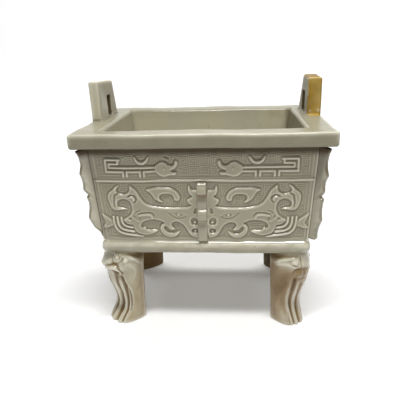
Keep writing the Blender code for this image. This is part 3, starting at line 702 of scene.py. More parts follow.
for operation, helpers in (("UNION", vessel_forms), ("DIFFERENCE", hollows)):
    step = rim.modifiers.new(operation.lower(), "BOOLEAN")
    step.operation = operation
    step.operand_type = "COLLECTION"
    step.collection = helpers
    step.solver = "EXACT"
melt = rim.modifiers.new("melt the joins", "REMESH")
melt.mode = "VOXEL"
melt.voxel_size = VOXEL
melt.use_smooth_shade = True
relax = rim.modifiers.new("relax", "SMOOTH")
relax.factor = 0.5
relax.iterations = 4
bpy.context.view_layer.update()
melted = finished_mesh(rim)
rim.modifiers.clear()
vessel_points = read_numbers(melted.vertices, "co", 3) / MM
for *centre, radius in NICKS:
    away = vessel_points - centre
    gap = np.linalg.norm(away, axis=1, keepdims=True)
    vessel_points = np.where(gap < radius, centre + away / np.maximum(gap, 0.05) * radius, vessel_points)
melted.vertices.foreach_set("co", (wander(vessel_points) * MM).ravel())
rim.data = melted
thin = rim.modifiers.new("thin the flats", "DECIMATE")
thin.ratio = min(1.0, VESSEL_TRIANGLES / (2 * len(melted.polygons)))
thinned = finished_mesh(rim)
bpy.data.objects.remove(rim, do_unlink=True)
print("vessel:", len(melted.polygons), "voxel faces, then", len(thinned.polygons), "triangles")
vessel_points = read_numbers(thinned.vertices, "co", 3) / MM
vessel = make_piece("vessel", vessel_points, corners_of(thinned))
for helpers in (vessel_forms, hollows):
    for item in list(helpers.objects):
        bpy.data.objects.remove(item, do_unlink=True)
    bpy.data.collections.remove(helpers)

# %% [markdown]
# ## Four legs
#
# A leg is a loft: a rounded section whose reach changes with height, so that it has a nose at the top, an
# ankle and a foot. Its back, towards the middle of the vessel, is only a little rounded. The beast's face
# is laid on as the relief is on a wall, in a drawing whose first coordinate is the angle round the leg. The
# two front legs were carved freehand and differ: the left one has a round eye with a long lid and a curled
# lip, the right one an eye like a leaf and a mouth like a ring. Each side has a drawing of its own, and its
# back leg repeats it.

# %% Note the legs' measures
LEG_REACH, LEG_INSET = 22.5, 1.4
LEG_FACING = math.radians(51)
LEG_POWER, BACK_POWER, LEG_BACK = 2.5, 2.1, 4.6
ARC_LENGTH = 0.34
LEG_SOFTNESS = 1.35
OUTER_HALF, OUTER_SHIFT = 44, 24
LEG_HIDDEN_TOP, LEG_NECK = 4.0, 1.6
LEG_GRID = 176
LEG_HEIGHTS = (0, 1.2, 4.5, 8.4, 13, 17, 21.7, 26, 31, 36.3, 40, 44, 48, 51.4, 54.5, 57.5, 62)
EYE_RING = [(21 + 13 * math.cos(turn), 55.9 + 2.6 * math.sin(turn), 0.5)
            for turn in np.linspace(0, 2 * math.pi, 17)]
# Inner and outer are half the width at foot and top, reach is a share at each of the heights, and brow tells
# where the leg meets the base. A line is a run of: degrees from the nose line, height, width. With it goes
# how high or deep, and how softly.
# Each leg's last two lists of marks are brown stain with painted shade, and painted highlights
LEGS = {
    "left": dict(
        side=-1, inner=(12.3, 15.1), outer=(14.8, 18.0),
        reach=(0.88, 0.87, 0.73, 0.54, 0.47, 0.49, 0.55, 0.62, 0.715, 0.77, 0.775, 0.82, 1.0, 0.90, 0.79,
               0.73, 0.72),
        brow=((0, 60), (17, 59.6), (33, 59.2), (49, 58.1), (62, 56.7), (75, 54.9), (84, 52.6), (90, 50.2)),
        raised=((EYE_RING, 0.45, 0.9),
                (((19.5, 56, 1.6), (22.5, 56, 1.6)), 0.9, 0.9),
                (((30, 58, 0.8), (49, 56.9, 0.9), (62, 55.6, 0.9), (75, 53.6, 0.9), (84, 51.2, 0.8),
                  (90, 48.6, 0.6)), 0.6, 1.3),
                (((47, 54.2, 1.6), (51, 53.9, 1.4)), 0.7, 1.1),
                (((-32, 41.4, 0.6), (-14, 44.4, 0.8), (2, 47.2, 1.2), (14, 48.6, 1.5), (25, 48.1, 1.6),
                  (31, 46, 1.3), (31.5, 43.6, 0.8)), 0.8, 0.9),
                (((53, 51, 0.6), (60, 50.6, 0.8), (66.5, 49.2, 0.8), (72, 46, 0.8), (73, 43.8, 0.7),
                  (71, 40.5, 0.6), (68, 38.5, 0.4)), 0.25, 1.2)),
        cut=((((-16, 46.0, 0.2), (-6, 48.4, 0.5), (4, 49.9, 0.7), (16.5, 51.1, 0.7), (28, 50.9, 0.7),
               (35, 49, 0.7), (37.5, 46.3, 0.6), (36.5, 43.6, 0.4)), 0.8, 0.9),
             (((8, 44.6, 1.8), (16, 45.6, 2.6), (23, 44.8, 1.8)), 1.2, 1.1),
             (((7.5, 57.5, 0.5), (6.5, 55, 0.6), (8, 53, 0.5), (12, 51.8, 0.4)), 0.35, 0.9),
             (((12, 52.5, 0.4), (22, 52, 0.5), (32, 52.6, 0.5), (38, 54.6, 0.4)), 0.3, 0.9)),
        flutes=((((9, 43.2, 1.0), (10.5, 39, 1.9), (10.5, 32, 2.3), (9.5, 26, 2.0), (4, 20, 1.5),
                  (1, 15, 1.1), (1, 8, 0.9), (2, 1, 0.9)), 1.7, 1.3),
                (((31, 40, 0.6), (35, 35, 1.5), (36, 31, 2.0), (31.5, 25, 1.8), (26, 19.5, 1.4),
                  (21, 13.8, 1), (22, 9, 0.8), (26, 1, 0.7)), 1.6, 1.3),
                (((40, 33, 0.2), (45, 28, 0.6), (44, 22, 0.8), (38, 15.5, 0.7), (36, 9.5, 0.3)), 0.8, 1.3),
                (((-16, 36, 0.4), (-16, 28, 1.4), (-18, 20, 1.2), (-20, 8, 0.8), (-20, 1, 0.7)), 1.3, 1.3)),
        dirt_and_shade=((((83, 33, 0.2), (79, 31, 0.3), (75, 29, 0.3), (70, 26.8, 0.2)), 0.6, 0.6),
              (((88, 48, 1), (88, 4, 1)), 0.4, 2.5), (((16, 44.5, 2.5), (20, 38, 2)), 0.8, 2),
              (((86, 38, 0.2), (80, 36.5, 0.2), (77, 33.8, 0.2)), 0.5, 0.5),
              (((60, 44, 2), (72, 40, 2)), 0.16, 4), (((56, 20, 1), (76, 12, 3)), 0.14, 5)),
        painted_highlights=((((-30, 49, 3), (-6, 52.5, 3)), 0.8, 3.5), (((20, 56, 1), (22, 56, 1)), 0.9, 1.2),
              (((47, 54.2, 1), (51, 53.9, 1)), 0.9, 1.0),
              (((30, 57.6, 0.6), (49, 56.8, 0.8), (66, 54.8, 0.6)), 0.4, 1.4),
              (((4, 47.3, 0.8), (14, 48.5, 1.2), (25, 48, 1.2), (31, 45.8, 0.8)), 0.7, 1.0),
              (((21, 39, 0.6), (23, 32, 1.2), (21, 25, 1.2), (14, 18, 1.2), (11, 10, 1.4), (12, 1, 1.4)),
               0.7, 1.2),
              (((50, 30, 0.6), (46, 20, 1.2), (37, 12, 1.4), (34, 3, 1.4)), 0.6, 1.8),
              (((-4, 32, 0.6), (-9, 20, 1), (-9, 4, 1.2)), 0.6, 1.4), (((66, 45, 2), (60, 36, 2)), 0.25, 3))),
    "right": dict(
        side=1, inner=(10.9, 13.2), outer=(11.5, 13.8),
        reach=(0.80, 0.80, 0.73, 0.645, 0.57, 0.545, 0.585, 0.665, 0.76, 0.855, 0.89, 0.94, 0.955, 0.92,
               0.865, 0.84, 0.83),
        brow=((0, 60), (12, 58.8), (27, 58), (38, 57.8), (48, 57.2), (61, 56), (72, 54.4), (84, 52),
              (90, 50.6)),
        raised=((((84, 50.4, 0.5), (72, 52.8, 0.7), (61, 54.4, 0.7), (48, 55.7, 0.7), (38, 56.3, 0.7),
                  (27, 56.4, 0.7), (18.5, 55.8, 0.7), (12.5, 53.6, 0.6), (13.5, 52, 0.5)), 0.7, 1.0),
                (((80, 49.6, 0.5), (68, 51, 0.7), (56.5, 51.9, 0.7), (46, 51.9, 0.7), (39, 51.4, 0.7),
                  (28.5, 50.6, 0.7), (18, 51, 0.7), (13.5, 52, 0.5)), 0.6, 1.0),
                (((21.5, 53.6, 2.2), (25.5, 53.7, 2.2), (34, 53.9, 0.8)), 1.3, 0.9),
                (((12, 44.7, 1.8), (21, 44.9, 2.0)), 0.9, 0.9),
                (((4.5, 53, 1.0), (4.5, 51.6, 1.0)), 0.6, 1.3)),
        cut=((((-42, 47.6, 0.5), (-24, 47.4, 0.6), (-6, 47.6, 0.7), (2, 48.4, 0.8), (14, 49, 0.8),
               (26.5, 48.9, 0.8), (34, 47.3, 0.7), (36.5, 45.2, 0.5)), 0.7, 0.9),
             (((33, 43.3, 0.5), (27, 41.8, 0.7), (16, 41.1, 0.7), (6, 40.6, 0.7), (-2, 40.4, 0.6)), 0.5, 0.9),
             (((2, 46.8, 0.6), (0, 44.4, 0.7), (2, 42, 0.6)), 0.6, 0.9),
             (((8, 57, 0.5), (7, 54.5, 0.6), (9, 51.5, 0.5)), 0.35, 1.0),
             (((17, 54, 0.4), (20, 51.9, 0.5), (28, 51.6, 0.4), (33, 52.6, 0.3)), 0.5, 0.6),
             (((36, 55.2, 0.3), (50, 54.3, 0.5), (66, 53, 0.3)), 0.3, 0.7)),
        flutes=((((27, 40, 1.0), (26, 34, 2.4), (20, 26, 2.4), (15.5, 18, 1.6), (14, 9, 1.1), (14, 1, 0.9)),
                 1.7, 1.3),
                (((56, 38, 2.0), (53, 30, 3.0), (47, 20, 2.2), (42, 12, 1.2)), 0.55, 3.6),
                (((2, 36, 0.4), (-4, 28, 1.2), (-8, 20, 1.2), (-4, 10, 0.8), (-4, 1, 0.7)), 1.2, 1.1),
                (((27, 10, 0.3), (30, 5, 0.6), (31, 1, 0.6)), 0.6, 0.9)),
        dirt_and_shade=((((46, 40, 3), (60, 36, 7), (74, 28, 6)), 0.75, 6), (((25, 39, 3), (22, 30, 2.5)), 0.9, 2),
              (((86, 24, 0.2), (78, 21, 0.3), (70, 17, 0.2)), 0.5, 0.6), (((2, 46, 1), (5, 48, 1)), 0.6, 1.6),
              (((20, 45, 3.5), (4, 45, 3.5)), 0.5, 2.5), (((86, 48, 2), (86, 6, 2)), 0.5, 3)),
        painted_highlights=((((-26, 51, 3), (-8, 54, 3)), 0.6, 3.5), (((22, 53.6, 1), (26, 53.7, 1)), 1.0, 1.2),
              (((72, 52.8, 0.8), (38, 56.3, 0.9), (20, 56.1, 0.9), (12.5, 54, 0.6)), 0.85, 1.3),
              (((72, 50.6, 0.7), (48, 51.9, 0.9), (28, 50.4, 0.9)), 0.7, 1.5),
              (((39, 41, 0.6), (38, 30, 1.0), (33, 20, 1.4), (26, 10, 1.6), (23, 1, 1.6)), 0.8, 1.5),
              (((14, 38, 0.6), (10, 30, 1.0), (5, 20, 1.2), (5, 10, 1.4), (6, 1, 1.4)), 0.8, 1.3),
              (((-14, 30, 0.6), (-20, 16, 1.2), (-18, 2, 1.4)), 0.6, 1.6),
              (((44, 12, 2), (52, 3, 3)), 0.35, 4))),
}
print("legs drawn:", ", ".join(LEGS))

# %% [markdown]
# The drawing is read as a height and as stain with painted shade at every angle and level. Raised forms go
# on, cuts and flutes are taken out, and painted shade with brown stain lies where they are. The neck above
# the brow is painted as the shadow under the base, and the pale marks are painted highlights. The outer half
# of a leg repeats the inner one, shifted and shallower.

# %% Read a leg's drawing
def swell(distance, height, reach):
    """A soft swelling: full inside an edge, and gone at some reach outside it."""
    return height * (0.5 + 0.5 * np.cos(math.pi * np.clip(distance / reach, 0, 1)))


def leg_drawing(angle, height, leg):
    """Height, and stain with painted shade and highlights, of one side's drawing, laid over the leg by angle
    and height.
    """
    around = angle * ARC_LENGTH

    def shape(line, size, reach):
        spread = soften(line, closed=False)
        spread[:, 0] *= ARC_LENGTH
        return swell(stroke_distance(around, height, spread), size, reach * LEG_SOFTNESS)

    brow_angles, brow_heights = np.array(leg["brow"]).T
    # Above the brow the neck is set back, and painted dark as the shadow under the base moulding
    neck = np.clip((height - np.interp(angle, brow_angles, brow_heights)) / 1.6 + 0.5, 0, 1)
    detail, dirt_and_shade = -0.9 * neck, neck
    for form in leg["raised"]:
        detail = np.maximum(detail, shape(*form))
    # Cuts and flutes get painted shade with brown stain
    for line, depth, reach in leg["cut"]:
        detail = detail - shape(line, depth, reach)
        dirt_and_shade = np.maximum(dirt_and_shade, shape(line, min(depth, 1.0) * 0.8, reach))
    for line, depth, reach in leg["flutes"]:
        detail = detail - shape(line, depth, reach)
        stain = shape(line, min(depth, 1.0) * 0.8, reach * 1.2) * np.clip(height / 14, 0.3, 1)
        dirt_and_shade = np.maximum(dirt_and_shade, stain)
    for mark in leg["dirt_and_shade"]:
        dirt_and_shade = np.maximum(dirt_and_shade, shape(*mark))
    # The pale marks are painted highlights
    painted_highlights = np.zeros_like(dirt_and_shade)
    for mark in leg["painted_highlights"]:
        painted_highlights = np.maximum(painted_highlights, shape(*mark))
    return detail, dirt_and_shade - painted_highlights


def leg_detail(angle, height, leg):
    """The drawing on the inner half and its mirror on the outer half, which meet softly beside the nose."""
    inward = -angle
    share = np.clip((inward + OUTER_HALF) / 12, 0, 1)
    share = share * share * (3 - 2 * share)
    inner, outer = leg_drawing(inward, height, leg), leg_drawing(-inward - OUTER_SHIFT, height, leg)
    return inner[0] * share + outer[0] * (1 - share) * 0.7, inner[1] * share + outer[1] * (1 - share)


print("the halves of a leg's drawing meet at", OUTER_HALF, "degrees")

# %% [markdown]
# The loft joins two parts ring by ring. The front is carved and bulges with the reach at its height, and the
# back is plain and only a little rounded, and painted dark as shade. Stain and painted shade are kept on each
# point, under nought for painted highlights.

# %% Loft one leg
BACK_STEPS = 26


def leg_piece(leg):
    """The whole leg as a mesh object at the origin, facing +X, with its stain, painted shade and highlights
    kept on the points.
    """
    angle, height = np.meshgrid(np.linspace(-90, 90, LEG_GRID),
                                np.linspace(0, LEG_TOP + LEG_HIDDEN_TOP, LEG_GRID))
    levels = soften(np.stack([LEG_HEIGHTS, leg["reach"]], 1), closed=False)
    reach = LEG_REACH * np.interp(height, levels[:, 0], levels[:, 1])
    halves = [foot + (top - foot) * height / LEG_TOP for foot, top in (leg["inner"], leg["outer"])]
    half = np.where(angle < 0, *halves) - LEG_NECK * np.clip((height - 54) / 4, 0, 1)
    bend = np.radians(angle)
    along = reach * np.clip(np.cos(bend), 0, 1) ** (2 / LEG_POWER)
    across = half * np.abs(np.sin(bend)) ** (2 / LEG_POWER) * np.sign(bend)
    detail, dirt_and_shade = leg_detail(angle, height, leg)
    out = blur(detail, 1) * np.clip((90 - np.abs(angle)) / 8, 0, 1)
    dirt_and_shade = blur(dirt_and_shade, 3)
    sole = -0.9 * np.clip(1 - height / 1.2, 0, 1) ** 2
    front = np.stack([along + (out + sole) * np.cos(bend), across + (out + sole) * np.sin(bend), height], -1)
    round_back = np.radians(np.linspace(90, 270, BACK_STEPS + 2)[1:-1])[None, :]
    sine, cosine = np.sin(round_back), np.cos(round_back)
    half = np.where(sine > 0, half[:, -1:], half[:, :1])
    across = half * np.abs(sine) ** (2 / BACK_POWER) * np.sign(sine) + sole[:, :1] * sine
    along = -LEG_BACK * np.abs(cosine) ** (2 / BACK_POWER) + sole[:, :1] * cosine
    back = np.stack([along, across, np.repeat(height[:, :1], BACK_STEPS, axis=1)], -1)
    rings = np.concatenate([front, back], 1)
    rows, columns = rings.shape[:2]
    # The back faces the middle, under the vessel, and is painted dark as shade
    share = np.clip(np.abs(cosine) * 2.2, 0, 1)
    back_shade_and_stain = np.where(sine > 0, dirt_and_shade[:, -1:], dirt_and_shade[:, :1]) * (1 - share) + 0.8 * share
    dirt_and_shade = np.concatenate([dirt_and_shade, back_shade_and_stain], 1)
    index = np.arange(rows * columns).reshape(rows, columns)
    following = np.roll(index, -1, axis=1)
    faces = np.stack([index[:-1], following[:-1], following[1:], index[1:]], -1).reshape(-1, 4).tolist()
    faces += [tuple(index[0][::-1].tolist()), tuple(index[-1].tolist())]
    mesh = bpy.data.meshes.new("one leg")
    mesh.from_pydata((rings.reshape(-1, 3) * MM).tolist(), [], faces)
    keep_on_points(mesh, "ground", np.clip(dirt_and_shade, -1, 1).ravel())
    return new_object("one leg", mesh)


print("points round one leg:", LEG_GRID + BACK_STEPS)

# %% [markdown]
# ## One at each corner
#
# Legs and corner flanges repeat at the four corners, each turned outward, so a small Geometry Nodes tree
# sets them out: a grid of four points, a turn worked out from the sign of each point's place, and an
# instance on each. Only some corners may be wanted: those of one side, or all but the one whose flange is
# worn. The signs, each with a weight, are summed for that, and a corner counts if its sum is over a limit.
# The tree ends in real geometry and sets a material, here none, and the result is read back as a plain mesh.

# %% Build the corner tree
def corner_tree():
    """Geometry Nodes that stand a piece at each corner of a rectangle, facing outward."""
    tree = bpy.data.node_groups.new("one at each corner", "GeometryNodeTree")
    face = tree.interface
    for label in ("Width", "Depth", "Facing", "Side weight", "Depth weight", "Limit"):
        face.new_socket(label, in_out="INPUT", socket_type="NodeSocketFloat")
    face.new_socket("Piece", in_out="INPUT", socket_type="NodeSocketObject")
    face.new_socket("Material", in_out="INPUT", socket_type="NodeSocketMaterial")
    face.new_socket("Geometry", in_out="OUTPUT", socket_type="NodeSocketGeometry")
    nodes, links = tree.nodes, tree.links

    def node(kind, inputs=None, **settings):
        made = nodes.new(kind)
        for key, value in settings.items():
            setattr(made, key, value)
        for key, value in (inputs or {}).items():
            if isinstance(value, bpy.types.NodeSocket):
                links.new(value, made.inputs[key])
            else:
                made.inputs[key].default_value = value
        return made

    def maths(operation, *values):
        return node("ShaderNodeMath", dict(enumerate(values)), operation=operation).outputs[0]

    given = node("NodeGroupInput").outputs
    grid = node("GeometryNodeMeshGrid", {"Size X": given["Width"], "Size Y": given["Depth"],
                                         "Vertices X": 2, "Vertices Y": 2})
    place = node("ShaderNodeSeparateXYZ", {0: node("GeometryNodeInputPosition").outputs[0]}).outputs
    sign_x = maths("SIGN", place["X"])
    sign_y = maths("SIGN", place["Y"])
    along = maths("COSINE", given["Facing"])
    aside = maths("SINE", given["Facing"])
    out_x = maths("MULTIPLY", sign_x, along)
    out_y = maths("MULTIPLY", sign_y, aside)
    turn = maths("ARCTAN2", out_y, out_x)
    side_part = maths("MULTIPLY", sign_x, given["Side weight"])
    depth_part = maths("MULTIPLY", sign_y, given["Depth weight"])
    total = maths("ADD", side_part, depth_part)
    wanted = node("FunctionNodeCompare", {0: total, 1: given["Limit"]}, operation="GREATER_THAN")
    spin = node("ShaderNodeCombineXYZ", {"Z": turn}).outputs[0]
    same = maths("MULTIPLY", sign_x, sign_y)
    flip = maths("MULTIPLY", same, -1.0)
    mirror = node("ShaderNodeCombineXYZ", {"X": 1.0, "Y": flip, "Z": 1.0}).outputs[0]
    piece = node("GeometryNodeObjectInfo", {"Object": given["Piece"]})
    stand = node("GeometryNodeInstanceOnPoints", {"Points": grid.outputs["Mesh"],
                                                  "Selection": wanted.outputs[0],
                                                  "Instance": piece.outputs["Geometry"], "Rotation": spin,
                                                  "Scale": mirror})
    real = node("GeometryNodeRealizeInstances", {"Geometry": stand.outputs[0]})
    coated = node("GeometryNodeSetMaterial", {"Geometry": real.outputs[0], "Material": given["Material"]})
    node("NodeGroupOutput", {"Geometry": coated.outputs[0]})
    return tree


corners = corner_tree()
print("nodes in the corner tree:", len(corners.nodes))

# %% [markdown]
# An empty object runs the tree on a piece. What comes out is kept as one plain mesh, with the wander in it.

# %% Stand pieces at the corners
def at_each_corner(name, source, width, depth, facing, weights, limit):
    """Run the tree on a source object and return the set as one plain piece, with the wander in it."""
    holder = new_object(name, bpy.data.meshes.new(name))
    step = holder.modifiers.new("corners", "NODES")
    step.node_group = corners
    given = {"Width": width * MM, "Depth": depth * MM, "Facing": facing, "Side weight": weights[0],
             "Depth weight": weights[1], "Limit": limit, "Piece": source, "Material": None}
    for item in corners.interface.items_tree:
        if item.in_out == "INPUT":
            step[item.identifier] = given[item.name]
    bpy.context.view_layer.update()
    mesh = finished_mesh(holder)
    bpy.data.objects.remove(holder, do_unlink=True)
    points = read_numbers(mesh.vertices, "co", 3) / MM
    piece = make_piece(name, wander(points), corners_of(mesh))
    if "ground" in mesh.attributes:
        keep_on_points(piece.data, "ground", read_numbers(mesh.attributes["ground"].data, "value", 1).ravel())
    bpy.data.objects.remove(source, do_unlink=True)
    tell_triangles(piece)
    return piece


back_off = (LEG_INSET + LEG_REACH) * math.sqrt(2)
legs = [at_each_corner(f"{word}_legs", leg_piece(leg), FOOT_WIDTH + 2 * BASE_BULGE - back_off,
                       FOOT_DEPTH + 2 * BASE_BULGE - back_off, LEG_FACING, (leg["side"], 0.0), 0.0)
        for word, leg in LEGS.items()]

# %% [markdown]
# ## Flanges
#
# A flat fin with a scalloped edge stands out from each corner, and a hooked one runs down the middle of each
# long wall. Their outlines are soft lines through a few points: height above the table, and reach from the
# wall. The front left fin is worn away at its foot, and it stays worn.

# %% Shape the flanges
FLANGE_THICKNESS, FLANGE_ROOT, FLANGE_EDGE_ROUNDING = 3.6, 5.4, 0.9
WALL_LEAN = (BODY_WIDTH - FOOT_WIDTH) / 2 / (RIM_FOOT - WALL_FOOT)
FLANGE_EDGE = ((137, 4.2), (136.4, 7.2), (135, 7.4), (133, 6.5), (130, 6.0), (126.3, 5.8), (122, 6.5),
               (119.6, 7.4), (117.9, 8.0), (115.4, 7), (112.8, 6.3), (109.6, 6.3), (106.8, 6.9), (104.6, 6),
               (103.1, 4.8), (102.2, 5.4), (101.6, 6.8), (100, 6.7), (97.6, 6.3), (93.8, 6.2), (89.8, 6.7),
               (86.2, 7.7), (84, 6.9), (79.5, 5.6), (75.2, 5.3), (72, 5.7), (70.9, 4.9))
WORN_EDGE = ((137.4, 3.6), (136.8, 7.4), (136, 8.4), (134.3, 7.2), (130.7, 6.3), (126.1, 6.3), (122.8, 7.4),
             (120.2, 8.3), (117.4, 7.4), (112.7, 6.9), (109, 7.6), (107.6, 7), (106, 5.8), (104.4, 4.9),
             (103.2, 6.1), (101.6, 5.9), (99, 5.4), (95, 5.6), (90.3, 7), (87.6, 7.7), (84.8, 6.6),
             (79.7, 4.8), (76.5, 2.0), (73.6, 0.5), (71, 0.1))
CENTRE_EDGE = ((113.4, 0.6), (112.8, 2.2), (111.2, 3.6), (109.2, 4.8), (107.6, 5.4), (106.2, 5.4),
               (105.2, 4.6), (104.6, 2.6), (103.4, 2.1), (101.6, 2.4), (99.6, 2.9), (96, 3), (94.4, 2.8),
               (93.7, 3.3), (92.8, 4.4), (91.6, 5.3), (89.8, 5.7), (87.6, 5.6), (86.2, 4.8), (85.3, 2.8),
               (84, 2.1), (82, 2.4), (79.6, 2.9), (75, 2.9), (70, 2.9), (69, 2.2))
CENTRE_WIDTH, CENTRE_SHIFT = 7.0, -0.7


def fin_outline(edge):
    """The closed outline of a corner fin, as reach from the foot corner and height from the wall's foot."""
    leaning = [(reach + (height - WALL_FOOT) * WALL_LEAN * math.sqrt(2), height - WALL_FOOT)
               for height, reach in edge]
    root = [(-FLANGE_ROOT, edge[-1][0] - WALL_FOOT), (-FLANGE_ROOT, edge[0][0] - WALL_FOOT)]
    return soften(leaning + root, cut=0.2)


stand_up = Matrix(((1, 0, 0, 0), (0, 0, 1, 0), (0, 1, 0, WALL_FOOT * MM), (0, 0, 0, 1)))
fins = []
for name, edge, weight, limit in (("corner_flanges", FLANGE_EDGE, 1.0, -1.5),
                                  ("worn_flange", WORN_EDGE, -1.0, 1.5)):
    beside = Matrix.Translation(Vector((0, FLANGE_THICKNESS / 2, 0)) * MM)
    fin_mesh = flat_form(name, fin_outline(edge), FLANGE_THICKNESS, FLANGE_EDGE_ROUNDING, beside @ stand_up)
    one_fin = new_object("one fin", fin_mesh)
    fins.append(at_each_corner(name, one_fin, FOOT_WIDTH, FOOT_DEPTH, math.radians(45), (weight, weight),
                               limit))

for name, turn in (("front_centre_flange", 0.0), ("back_centre_flange", math.pi)):
    lean = (BODY_DEPTH - FOOT_DEPTH) / 2 / (RIM_FOOT - WALL_FOOT)
    outline = [(reach + (height - WALL_FOOT) * lean, height - WALL_FOOT) for height, reach in CENTRE_EDGE]
    outline = soften(outline + [(-1.5, 0), (0, 44)], cut=0.2)
    sideways = Matrix(((0, 0, 1, CENTRE_SHIFT * MM), (-1, 0, 0, -FOOT_DEPTH / 2 * MM),
                       (0, 1, 0, WALL_FOOT * MM), (0, 0, 0, 1)))
    mesh = flat_form(name, outline, CENTRE_WIDTH, 0.9, Matrix.Rotation(turn, 4, "Z") @ sideways)
    points = np.array([vertex.co for vertex in mesh.vertices]) / MM
    fins.append(make_piece(name, wander(points), corners_of(mesh)))
print("flanges:", ", ".join(fin.name for fin in fins))

# %% [markdown]
# ## Where glaze pools and shade is painted
#
# On the real vessel the glaze is thin and pale on ridges, and pools darker in grooves, where dirt settles
# too. A mesh can tell the two apart: relax its points, and see to which side of the surface each one moves.
# That number is kept on each point, for the glaze to read, and the glaze also paints highlights on ridges
# and shade in grooves with it.

# %% Mark ridges and recesses
# Flanges carry a number of their own, which paints them darker as shade, and only their faces under this area
# in square millimetres look round
FIN_SHADE, FLAT_AREA = 1.6, 1.5


def mark_sunken(piece, passes, scale):
    """Store how sunken each point is: over zero in a groove, under zero on a ridge."""
    mesh = piece.data
    count = len(mesh.vertices)
    places = read_numbers(mesh.vertices, "co", 3) / MM
    normals = read_numbers(mesh.vertex_normals, "vector", 3)
    a, b = read_numbers(mesh.edges, "vertices", 2, np.int64).T
    near = np.bincount(a, minlength=count) + np.bincount(b, minlength=count)
    relaxed = places.copy()
    for _ in range(passes):
        moved = np.stack([np.bincount(a, relaxed[b, axis], count) + np.bincount(b, relaxed[a, axis], count)
                          for axis in range(3)], 1)
        relaxed = 0.4 * relaxed + 0.6 * moved / np.maximum(near, 1)[:, None]
    sunken = np.clip(((relaxed - places) * normals).sum(1) / scale, -1, 1)
    keep_on_points(mesh, "sunken", sunken)
    print(piece.name, "sunken from", round(float(sunken.min()), 2), "to", round(float(sunken.max()), 2))


for piece in panels:
    mark_sunken(piece, passes=14, scale=0.45)
mark_sunken(vessel, passes=14, scale=0.55)
for piece in legs:
    mark_sunken(piece, passes=30, scale=0.40)
for fin in fins:
    mark_sunken(fin, passes=2, scale=0.5)
    small = [face.area < FLAT_AREA * MM * MM for face in fin.data.polygons]
    fin.data.polygons.foreach_set("use_smooth", small)
    keep_on_points(fin.data, "ground", [FIN_SHADE] * len(fin.data.vertices))

# The walls of the two slots, which face along the handle or up and down, are brown inside and painted dark as
# shade
places = read_numbers(vessel.data.vertices, "co", 3) / MM
normals = read_numbers(vessel.data.vertex_normals, "vector", 3)
slot_brown_and_shade = np.zeros(len(places))
for handle in HANDLES.values():
    slot_start = handle["front"] + handle["slot"]
    low, high = slot_start - 0.8, slot_start + handle["slot_length"] + 0.8
    within = (places[:, 0] * handle["side"] > 74) & (places[:, 1] > low) & (places[:, 1] < high)
    within &= (places[:, 2] > RIM_TOP - 0.2) & (places[:, 2] < RIM_TOP + SLOT_SILL + SLOT_HEIGHT + 0.6)
    slot_brown_and_shade[within & (np.abs(normals[:, 0]) < 0.75)] = 1
keep_on_points(vessel.data, "ground", slot_brown_and_shade)
print("points on the slots' walls:", int(slot_brown_and_shade.sum()))

# %% [markdown]
# ## Shader maths in plain expressions
#
# A material is easier to read as sums than as a list of links. A small class wraps a socket, so that an
# expression on values adds its maths nodes, and one method makes any other node.

# %% Wrap shader sockets
class Value:
    """A shader value that can be used in sums."""

    def __init__(self, shader, socket):
        self.shader, self.socket = shader, socket

    def math(self, operation, *others):
        """One maths node on this value and others."""
        return self.shader.node("ShaderNodeMath", dict(enumerate((self, *others))), operation=operation)

    def __add__(self, other):
        return self.math("ADD", other)

    __radd__ = __add__

    def __sub__(self, other):
        return self.math("SUBTRACT", other)

    def __rsub__(self, other):
        return self.math("MULTIPLY", -1.0).math("ADD", other)

    def __mul__(self, other):
        return self.math("MULTIPLY", other)

    __rmul__ = __mul__

    def __truediv__(self, other):
        return self.math("DIVIDE", other)

    def clamp(self):
        return self.math("MINIMUM", 1.0).math("MAXIMUM", 0.0)

    def ramp(self, low, high):
        """Nought below low, one above high, and a straight rise between."""
        return ((self - low) / (high - low)).clamp()

    def fall(self, low, high):
        """One below low, nought above high, and a straight fall between."""
        return 1.0 - self.ramp(low, high)


class Shader:
    """One material, built from nodes that are made by one method."""

    def __init__(self, name):
        self.material = bpy.data.materials.new(name)
        self.material.use_nodes = True
        self.tree = self.material.node_tree
        self.surface = self.tree.nodes["Principled BSDF"]

    def node(self, kind, inputs=None, output=0, **settings):
        """Any node: its settings first, then the values or links of its sockets."""
        made = self.tree.nodes.new(kind)
        for key, value in settings.items():
            setattr(made, key, value)
        for key, value in (inputs or {}).items():
            self.feed(made.inputs[key], value)
        return Value(self, made.outputs[output])

    def feed(self, socket, value):
        """Link a value, or set a plain one."""
        if isinstance(value, Value):
            self.tree.links.new(value.socket, socket)
        else:
            socket.default_value = value

    def mix(self, share, first, second):
        """A blend of two colours."""
        return self.node("ShaderNodeMix", {0: share, 6: first, 7: second}, output=2, data_type="RGBA")

    def set(self, **values):
        """Feed sockets of the surface, named with underscores for spaces."""
        for key, value in values.items():
            self.feed(self.surface.inputs[key.replace("_", " ")], value)


print("shader helpers:", Value.__name__, "and", Shader.__name__)


# %% [markdown]
# ## The glaze
#
# The glaze is a warm grey ivory that drifts between warm and cool over a few centimetres. Rim, walls, base,
# legs and mouth each have a tone of their own, so the material works in zones. A zone is a number from
# nought to one, made of ramps on the place, which is read in metres. Every mix lays one more tone over the
# colour so far.

# %% Name the tones and read the place
IVORY = (0.455, 0.415, 0.292, 1)
COOL_IVORY = (0.415, 0.395, 0.292, 1)
# Pale glaze, also used for painted highlights
PALE = (0.66, 0.63, 0.51, 1)
TAN = (0.37, 0.29, 0.165, 1)
RIM_GLAZE = (0.203, 0.190, 0.130, 1)
# The darker tone of the relief's ground, also used for painted shade
GROUND = (0.197, 0.172, 0.102, 1)
# Pooled glaze, also used for painted shade
POOLED_AND_SHADE = (0.085, 0.068, 0.03, 1)

